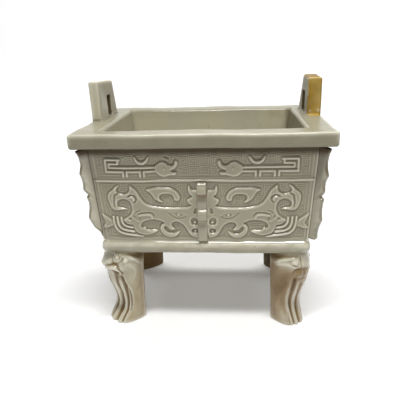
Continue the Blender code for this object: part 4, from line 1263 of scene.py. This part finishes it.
glaze = Shader("ivory glaze")
spot = glaze.node("ShaderNodeTexCoord", output=3)
sunken = glaze.node("ShaderNodeAttribute", output=2, attribute_name="sunken")
ground = glaze.node("ShaderNodeAttribute", output=2, attribute_name="ground")
drift = glaze.node("ShaderNodeTexNoise", {"Vector": spot, "Scale": 28.0, "Detail": 3.0})
cloud = glaze.node("ShaderNodeTexNoise", {"Vector": spot, "Scale": 90.0, "Detail": 4.0})
grain = glaze.node("ShaderNodeTexNoise", {"Vector": spot, "Scale": 420.0, "Detail": 2.0})
places = glaze.node("ShaderNodeSeparateXYZ", {0: spot})
px, py, pz = (Value(glaze, output) for output in places.socket.node.outputs)
far_x, far_y = px.math("ABSOLUTE"), py.math("ABSOLUTE")
print("nodes that read the place:", len(glaze.tree.nodes))

# %% [markdown]
# The rim is darker than the walls. The outer walls are darker too, partly their own tone and partly painted
# shade, and more so between the figures, where the sunken ground gets painted shade. The base has a painted
# highlight along its upper edge and painted shade below, the lower edge of the rim's face has painted shade,
# and the legs turn tan towards the feet.

# %% Tone the zones
legs_zone = pz.fall(0.0560, 0.0600)
low_leg = pz.fall(0.036, 0.052)
on_walls = 1.0 - legs_zone
on_handles = pz.ramp(0.1485, 0.1500)
outside = (far_x.ramp(0.0705, 0.0715) + far_y.ramp(0.0505, 0.0515)).clamp()
inside = (1.0 - outside) * pz.ramp(0.066, 0.068) * pz.fall(0.1465, 0.1480)
rim_zone = (pz.ramp(0.1370, 0.1380) * outside + pz.ramp(0.1452, 0.1466)).clamp() * pz.fall(0.1490, 0.1505)
rim_face = rim_zone * outside * pz.fall(0.1440, 0.1460)
# Painted shade on the lower edge of the rim's face, which faces down
rim_low_shade = pz.ramp(0.1370, 0.1380) * pz.fall(0.1400, 0.1425) * outside
upper_wall = outside * pz.ramp(0.1155, 0.1165) * pz.fall(0.1370, 0.1380)
lower_wall = on_walls * outside * pz.ramp(0.0690, 0.0700) * pz.fall(0.1125, 0.1155)
on_base = pz.fall(0.0690, 0.0694) * on_walls
# A painted highlight along the upper curve of the base moulding
base_top_highlight = pz.ramp(0.0642, 0.0656) * pz.fall(0.0668, 0.0680)
base_top_highlight = base_top_highlight * (far_y.ramp(0.0528, 0.0534) + far_x.ramp(0.0728, 0.0734)).clamp()
# Painted shade on the lower half of the base moulding
base_underside_shade = on_walls * pz.fall(0.0595, 0.0665)
at_mouth = pz.ramp(0.138, 0.145) * (1.0 - on_handles) * far_x.fall(0.0720, 0.0735)
at_mouth = at_mouth * far_y.fall(0.0520, 0.0535)

colour = glaze.mix(drift.ramp(0.38, 0.64), IVORY, COOL_IVORY)
colour = glaze.mix(legs_zone * (0.10 + low_leg * 0.35 + cloud.ramp(0.35, 0.7) * low_leg * 0.4), colour, TAN)
colour = glaze.mix(rim_zone * 0.75, colour, RIM_GLAZE)
# The outer walls darkened, partly their own tone and partly painted shade
colour = glaze.mix(lower_wall * 0.46 + upper_wall * 0.30, colour, GROUND)
colour = glaze.mix((lower_wall + upper_wall) * 0.11, colour, POOLED_AND_SHADE)
colour = glaze.mix(rim_face * 0.2, colour, POOLED_AND_SHADE)
colour = glaze.mix((base_underside_shade * 0.80 + on_base * 0.30).clamp(), colour, GROUND)
colour = glaze.mix(base_top_highlight * cloud.ramp(0.3, 0.6) * 0.6, colour, PALE)
# Darker ground between the figures, partly dirt and partly painted shade, and the flanges painted darker as
# shade
colour = glaze.mix(ground * on_walls * (1.0 - on_handles) * (0.55 + (cloud - 0.5) * 0.5), colour, GROUND)
colour = glaze.mix(at_mouth * (1.0 - inside * 0.5) * 0.30, colour, GROUND)
colour = glaze.mix(rim_low_shade * 0.45, colour, GROUND)
print("nodes with the zones:", len(glaze.tree.nodes))

# %% [markdown]
# Glaze runs off ridges and gathers in hollows; the paler ridges also carry painted highlights and the darker
# hollows painted shade. On the legs the hollows hold brown stain as well, with painted shade.

# %% Pale the ridges and darken the hollows
# Brown stain, also used for painted shade
STAIN_AND_SHADE = (0.17, 0.098, 0.028, 1)
paling = (0.9 - ground * 0.2) * (1.0 - rim_zone * 0.3) * (1.0 - at_mouth * 0.6) * (1.0 - rim_low_shade)
pooling_and_shade = (sunken + (cloud - 0.5) * 0.2).ramp(0.08, 0.75)
# Pale glaze on ridges, with painted highlights along the edges
colour = glaze.mix((sunken * -1.0).ramp(0.05, 0.7) * paling, colour, PALE)
# Pooled glaze and painted shade in hollows
colour = glaze.mix(pooling_and_shade * (0.55 + legs_zone * 0.2), colour, POOLED_AND_SHADE)
# Brown stain with painted shade in the legs' hollows
colour = glaze.mix(pooling_and_shade * legs_zone * 0.8, colour, STAIN_AND_SHADE)
print("nodes with ridges and hollows:", len(glaze.tree.nodes))

# %% [markdown]
# The flanges stand out at the corners, along the diagonals. So the sum of the distances to the two middle
# planes tells how far out a spot lies, and the walls' corner moves out evenly with height. Painted shade runs
# along that corner as a dark seam and darkens each corner flange at its root, and the right front flange is
# painted darker than the others, as in shadow. A painted shadow, with pooled glaze, lies under the rim.

# %% Shade the seams and the underside of the rim
# Deepest brown, used for stain and for painted shade
DEEP_STAIN_AND_SHADE = (0.07, 0.045, 0.016, 1)
CORNER_HEIGHT, CORNER_LEAN, CORNER_DISTANCE = 0.0691, 0.077, 0.0887
past_corner = (far_x + far_y) * math.sqrt(0.5) - ((pz - CORNER_HEIGHT) * CORNER_LEAN + CORNER_DISTANCE)
at_right_front = px.ramp(0.0, 0.01) * py.fall(-0.01, 0.0)
flange_root = ground.ramp(1.1, 1.3) * far_x.ramp(0.06, 0.061)
flange_shade = flange_root * at_right_front * past_corner.fall(0.004, 0.0085)
seam_shade = (past_corner - 0.0001).math("ABSOLUTE").fall(0.0005, 0.0012)
seam_shade = seam_shade * pz.ramp(0.0700, 0.0710) * pz.fall(0.1370, 0.1380) * (1.0 - at_right_front * 0.7)
under_rim_shadow = (pz + (cloud - 0.5) * 0.002).ramp(0.1305, 0.1348) * pz.fall(0.1386, 0.1392) * outside
# Painted shade at the root of each corner flange
colour = glaze.mix(flange_root * past_corner.fall(0.0, 0.0045) * 0.35, colour, STAIN_AND_SHADE)
# Painted shade along the crease where the wall meets the flange
colour = glaze.mix(seam_shade * 0.62, colour, POOLED_AND_SHADE)
# The right front flange painted darker, as in shadow
colour = glaze.mix(flange_shade * (0.3 + pz.ramp(0.100, 0.120) * 0.35), colour, POOLED_AND_SHADE)
# Painted shadow under the rim's overhang, with pooled glaze
colour = glaze.mix(under_rim_shadow * 0.97, colour, DEEP_STAIN_AND_SHADE)
print("nodes with the seams:", len(glaze.tree.nodes))

# %% [markdown]
# Inside, the long walls are lighter than the short ones, which carry painted shade, and the right short wall
# is the darkest. The handles' inner faces are dull and darker, with dirt and painted shade, the walls of
# their slots are brown with painted shade, and the rim's outer edge is darker in patches.

# %% Shade the inside, the rim's edge and the handles
inner_sides = inside * far_x.ramp(0.064, 0.067)
inner_back = inside - inner_sides
rim_edge = (far_x.ramp(0.0866, 0.0872) + far_y.ramp(0.0646, 0.0652)).clamp()
rim_edge = rim_edge * pz.ramp(0.136, 0.138) * pz.fall(0.1450, 0.1475)
above_rim = pz.ramp(0.1492, 0.1512)
right_inner = px.ramp(0.0742, 0.0752) * px.fall(0.0768, 0.0774) * above_rim
left_inner = px.fall(-0.0785, -0.0775) * px.ramp(-0.0800, -0.0792) * above_rim
colour = glaze.mix(inner_back * pz.ramp(0.120, 0.147) * 0.18, colour, RIM_GLAZE)
colour = glaze.mix(inner_back * px.ramp(0.015, 0.045) * cloud.ramp(0.42, 0.60) * 0.22, colour, GROUND)
# The short inner walls painted darker as shade, the right one most
colour = glaze.mix(inner_sides * (0.22 + px.ramp(0.0, 0.01) * 0.6), colour, GROUND)
colour = glaze.mix(inner_sides * px.ramp(0.0, 0.01) * 0.28, colour, POOLED_AND_SHADE)
colour = glaze.mix(rim_edge * (0.25 + (cloud - 0.5) * 0.6), colour, GROUND)
# The handles' inner faces darker, with dirt and painted shade
colour = glaze.mix(right_inner * (0.4 + cloud.ramp(0.25, 0.75) * 0.4) + left_inner * 0.5, colour, GROUND)
# The slots' walls brown, with painted shade
colour = glaze.mix(ground * on_handles * 0.9, colour, DEEP_STAIN_AND_SHADE)
print("nodes with inside and handles:", len(glaze.tree.nodes))

# %% [markdown]
# Brown stain and painted shade sit on the legs where the drawing of each leg put them, the stain most of all
# on the right front leg, and painted highlights stand on its ridges. The back legs are painted dark brown on
# the sides that face the middle, stain with painted shade. Painted shade in brown lies in the undercut of the
# two hooks of each middle flange.

# %% Stain the legs and the hooks
BROWN = (0.26, 0.165, 0.065, 1)
HOOK_HEIGHTS = (0.1042, 0.0848)
right_front = legs_zone * at_right_front
dirt_and_shade = (ground * 1.1 + (cloud - 0.5) * ground * 0.8).clamp() * legs_zone
upper_hook, lower_hook = ((pz - height).math("ABSOLUTE").fall(0.0008, 0.0020) for height in HOOK_HEIGHTS)
on_hook = (px + 0.0007).math("ABSOLUTE").fall(0.0036, 0.0042) * far_y.ramp(0.0560, 0.0566)
rear = py.ramp(0.010, 0.020) * legs_zone * (0.1 + ground).clamp()
browning = 0.36 + pz.ramp(0.006, 0.03) * 0.4 - pz.ramp(0.046, 0.052) * 0.62
colour = glaze.mix(right_front * browning, colour, BROWN)
# Brown stain and painted shade from the legs' drawings, darkest where they are deepest
colour = glaze.mix(dirt_and_shade * 0.95, colour, STAIN_AND_SHADE)
colour = glaze.mix(dirt_and_shade.ramp(0.75, 1.0) * 0.45, colour, DEEP_STAIN_AND_SHADE)
# Painted highlights on the legs' ridges, eyes and brows
colour = glaze.mix((ground * -1.0).clamp() * legs_zone * 0.85, colour, PALE)
# Painted shade, brown, in the undercut under each hook of the middle flanges
colour = glaze.mix((upper_hook + lower_hook) * on_hook * 0.75, colour, STAIN_AND_SHADE)
# The back legs' sides towards the middle painted dark, shade with stain
colour = glaze.mix(rear * 0.9, colour, glaze.mix(px.ramp(-0.010, 0.010) * 0.95, STAIN_AND_SHADE, DEEP_STAIN_AND_SHADE))
print("nodes with the stains:", len(glaze.tree.nodes))

# %% [markdown]
# Iron in the clay shows as a few dark specks. The larger ones have their places on the rim, the base and the
# inner wall, and the finest ones come from a cell pattern of which few cells are chosen.

# %% Scatter specks of iron
IRON = (0.045, 0.03, 0.018, 1)
# Place and radius in millimetres
SPECKS = ((1.4, -65.2, 148.0, 0.5), (2.6, -65.8, 141.0, 0.55), (-60.6, -65.6, 143.0, 0.4),
          (-4, -55.8, 62.6, 0.5), (36, -55.4, 65.5, 0.6), (31, 48.4, 136, 0.5), (-1, 48.2, 133, 0.45),
          (-45, 48.2, 130, 0.4), (10, 64.8, 148.0, 0.5), (-24.1, -56, 131, 0.5), (-22.9, -56, 130.5, 0.4))


def distance_from(place):
    """How far each spot is from a place in millimetres, as a value in metres."""
    target = tuple(value * MM for value in place)
    return glaze.node("ShaderNodeVectorMath", {0: spot, 1: target}, output=1, operation="DISTANCE")


freckles = glaze.node("ShaderNodeTexVoronoi", {"Vector": spot, "Scale": 75.0}, output=0)
chosen = glaze.node("ShaderNodeTexVoronoi", {"Vector": spot, "Scale": 75.0}, output=1)
rare = glaze.node("ShaderNodeSeparateColor", {0: chosen}).ramp(0.86, 0.87)
specks = freckles.fall(0.018, 0.034) * rare * 0.8
for *place, radius in SPECKS:
    specks = specks + distance_from(place).fall(radius * 0.5 * MM, radius * 1.5 * MM)
colour = glaze.mix((specks * 0.85).clamp(), colour, IRON)
print("specks in their places:", len(SPECKS))

# %% [markdown]
# Gold lacquer covers the front of the right handle, runs back over its top, and spreads a little way onto the
# rim. Its edge is ragged. It is paler where it is worn through, and darker at its borders.

# %% Lay gold lacquer on one handle
GOLD = (0.40, 0.245, 0.03, 1)
WORN_GOLD = (0.60, 0.45, 0.18, 1)
DARK_GOLD = (0.20, 0.115, 0.018, 1)
WORN_SPOTS = ((78.7, 2.3, 151.7), (84.7, 2.3, 152.2))
LACQUER_RING = (82.3, 2.6, 148.4)
gilded = HANDLES["right"]
ragged = (cloud - 0.5) * 0.0016


def ball(place, inner, outer):
    """One near a place, fading to nought between two distances in millimetres."""
    return (distance_from(place) + ragged * 0.5).fall(inner * MM, outer * MM)


lacquer_front = (py + ragged).fall((gilded["front"] + 1.5) * MM, (gilded["front"] + 2.0) * MM)
lacquer_front = lacquer_front * (pz + ragged).ramp((RIM_TOP + 0.4) * MM, (RIM_TOP + 1.0) * MM)
lacquer_top = (pz + ragged).ramp((RIM_TOP + 26.2) * MM, (RIM_TOP + 27.0) * MM) * py.fall(0.024, 0.030)
lacquer = (lacquer_front + lacquer_top).clamp() * (px + ragged).ramp(0.0764, 0.0769)
lacquer = (lacquer + ball(LACQUER_RING, 3.6, 4.2) * px.ramp(0.0770, 0.0775)).clamp()
worn = ball(WORN_SPOTS[0], 0.1, 1.3) + ball(WORN_SPOTS[1], 0.2, 1.6)
worn = (worn * 0.9 + lacquer_top * cloud.ramp(0.42, 0.62) * 0.15).clamp()
gold = glaze.mix((cloud + drift - 1.0).ramp(-0.10, 0.14) * 0.5, GOLD, WORN_GOLD)
gold = glaze.mix(drift.fall(0.36, 0.50) * 0.55, gold, DARK_GOLD)
gold = glaze.mix(pz.ramp(0.1742, 0.1752) * py.fall(0.003, 0.004) * 0.4, gold, WORN_GOLD)
gold = glaze.mix(lacquer_top * py.ramp(0.0035, 0.0050) * (0.4 + cloud.ramp(0.35, 0.65) * 0.4), gold,
                 DARK_GOLD)
gold = glaze.mix((px.ramp(0.0855, 0.0868) * 0.6 + py.ramp(0.004, 0.006) * 0.6).clamp(), gold, DARK_GOLD)
gold = glaze.mix(worn * 0.8, gold, PALE)
gold = glaze.mix(ball((87, 2.5, 150), 0.4, 1.2), gold, IRON)
brown_foot = ball((76, 14, 150.5), 1, 6) * 0.6 + ball((-78.6, 8, 149.5), 1, 6) * 0.4
brown_foot = brown_foot + ball((76.4, 4, 149.5), 0.5, 3) * 0.5
colour = glaze.mix(brown_foot * on_handles, colour, STAIN_AND_SHADE)
colour = glaze.mix(lacquer, colour, gold)
print("nodes with the lacquer:", len(glaze.tree.nodes))

# %% [markdown]
# The glaze is glossy, with a faint orange-peel unevenness. It is duller on the rim's top, on the sides that
# are rarely wiped, and where the legs' stain and painted shade lie. The lacquer is half metal.

# %% Set the gloss and glaze the pieces
flat_top = pz.ramp(0.1466, 0.1478) * pz.fall(0.1490, 0.1500)
matt_sides = (right_inner + left_inner + inner_sides + under_rim_shadow + rear).clamp()
gloss = 0.10 + cloud * 0.08 + sunken.clamp() * 0.20 + flat_top * 0.20 + matt_sides * 0.45
gloss = gloss + dirt_and_shade * 0.25 + lacquer * 0.18 + lacquer_top * px.ramp(0.07, 0.08) * 0.3
coat = (0.35 - lacquer * 0.3) * (1.0 - flat_top) * (1.0 - matt_sides) * (1.0 - dirt_and_shade)
waviness = cloud * 0.7 + grain * 0.3
peel = glaze.node("ShaderNodeBump", {"Strength": 0.15, "Distance": 0.0006, "Height": waviness})
glaze.set(Base_Color=colour, Roughness=gloss, Metallic=lacquer * 0.35, Coat_Weight=coat, Normal=peel)
for label, level in (("Specular IOR Level", 0.45), ("Coat Roughness", 0.07), ("IOR", 1.5)):
    glaze.surface.inputs[label].default_value = level

pieces = [vessel, *legs, *panels, *fins]
for piece in pieces:
    piece.data.materials.clear()
    piece.data.materials.append(glaze.material)
print("glazed pieces:", len(pieces))

# %% [markdown]
# ## On the frame
#
# Nothing on the vessel moves, so every piece rides on the one body. Together they stand for the solid,
# which is hidden, and all carry the glaze.

# %% Tie the pieces to the frame
for piece in pieces:
    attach(piece, "root")
    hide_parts("ding")
print("triangles in all:", sum(len(face.vertices) - 2 for piece in pieces for face in piece.data.polygons))

# %% [markdown]
# ## Floor and light
#
# The vessel stands on plain white paper that sweeps up behind it. A wide, narrow lamp hangs overhead and a
# little in front, where it gives the rim and the upper edges of the relief their shine. A small lamp in front
# lightens the walls, and a broad one lights the paper behind. A weak even surround fills the shadows.

# %% Light the vessel
FLOOR_REACH, SWEEP_START, SWEEP_RADIUS, SWEEP_TOP = 2.2, 1.2, 0.7, 0.9
paper_line = [(-FLOOR_REACH, 0.0), (SWEEP_START, 0.0)]
for step in range(1, 13):
    bend = math.radians(step * 7.5)
    paper_line.append((SWEEP_START + SWEEP_RADIUS * math.sin(bend), SWEEP_RADIUS * (1 - math.cos(bend))))
paper_line.append((SWEEP_START + SWEEP_RADIUS, SWEEP_TOP))
floor_points = [(side * FLOOR_REACH, y, z) for y, z in paper_line for side in (-1, 1)]
floor_faces = [(2 * step, 2 * step + 1, 2 * step + 3, 2 * step + 2) for step in range(len(paper_line) - 1)]
floor_mesh = bpy.data.meshes.new("paper sweep")
floor_mesh.from_pydata(floor_points, [], floor_faces)
floor_mesh.shade_smooth()
floor = new_object("paper_sweep", floor_mesh)
paper = Shader("white paper")
# The paper glows faintly, which lifts the shadows on it
paper.set(Base_Color=(0.93, 0.93, 0.93, 1), Roughness=0.9, Emission_Color=(1, 1, 1, 1),
          Emission_Strength=0.11)
floor.data.materials.append(paper.material)


def soft_lamp(name, place, aim, size, power):
    """A rectangular area lamp that looks at a point."""
    lamp_data = bpy.data.lights.new(name, "AREA")
    lamp_data.shape = "RECTANGLE"
    lamp_data.size, lamp_data.size_y = size
    lamp_data.energy = power
    lamp = new_object(name, lamp_data)
    lamp.location = place
    lamp.rotation_euler = (Vector(aim) - Vector(place)).to_track_quat("-Z", "Y").to_euler()


soft_lamp("overhead", place=(0.04, -0.20, 0.60), aim=(0, -0.02, 0.08), size=(0.36, 0.08), power=2.95)
soft_lamp("front", place=(0.04, -0.66, 0.56), aim=(0, 0, 0.08), size=(0.24, 0.06), power=0.7)
soft_lamp("sweep", place=(0, 0.7, 1.7), aim=(0, 1.5, 0.4), size=(2.4, 0.5), power=36.0)
world = bpy.data.worlds.new("surround")
bpy.context.scene.world = world
world.use_nodes = True
world.node_tree.nodes["Background"].inputs["Color"].default_value = (1, 1, 1, 1)
world.node_tree.nodes["Background"].inputs["Strength"].default_value = 0.14
bpy.context.scene.view_settings.view_transform = "Standard"
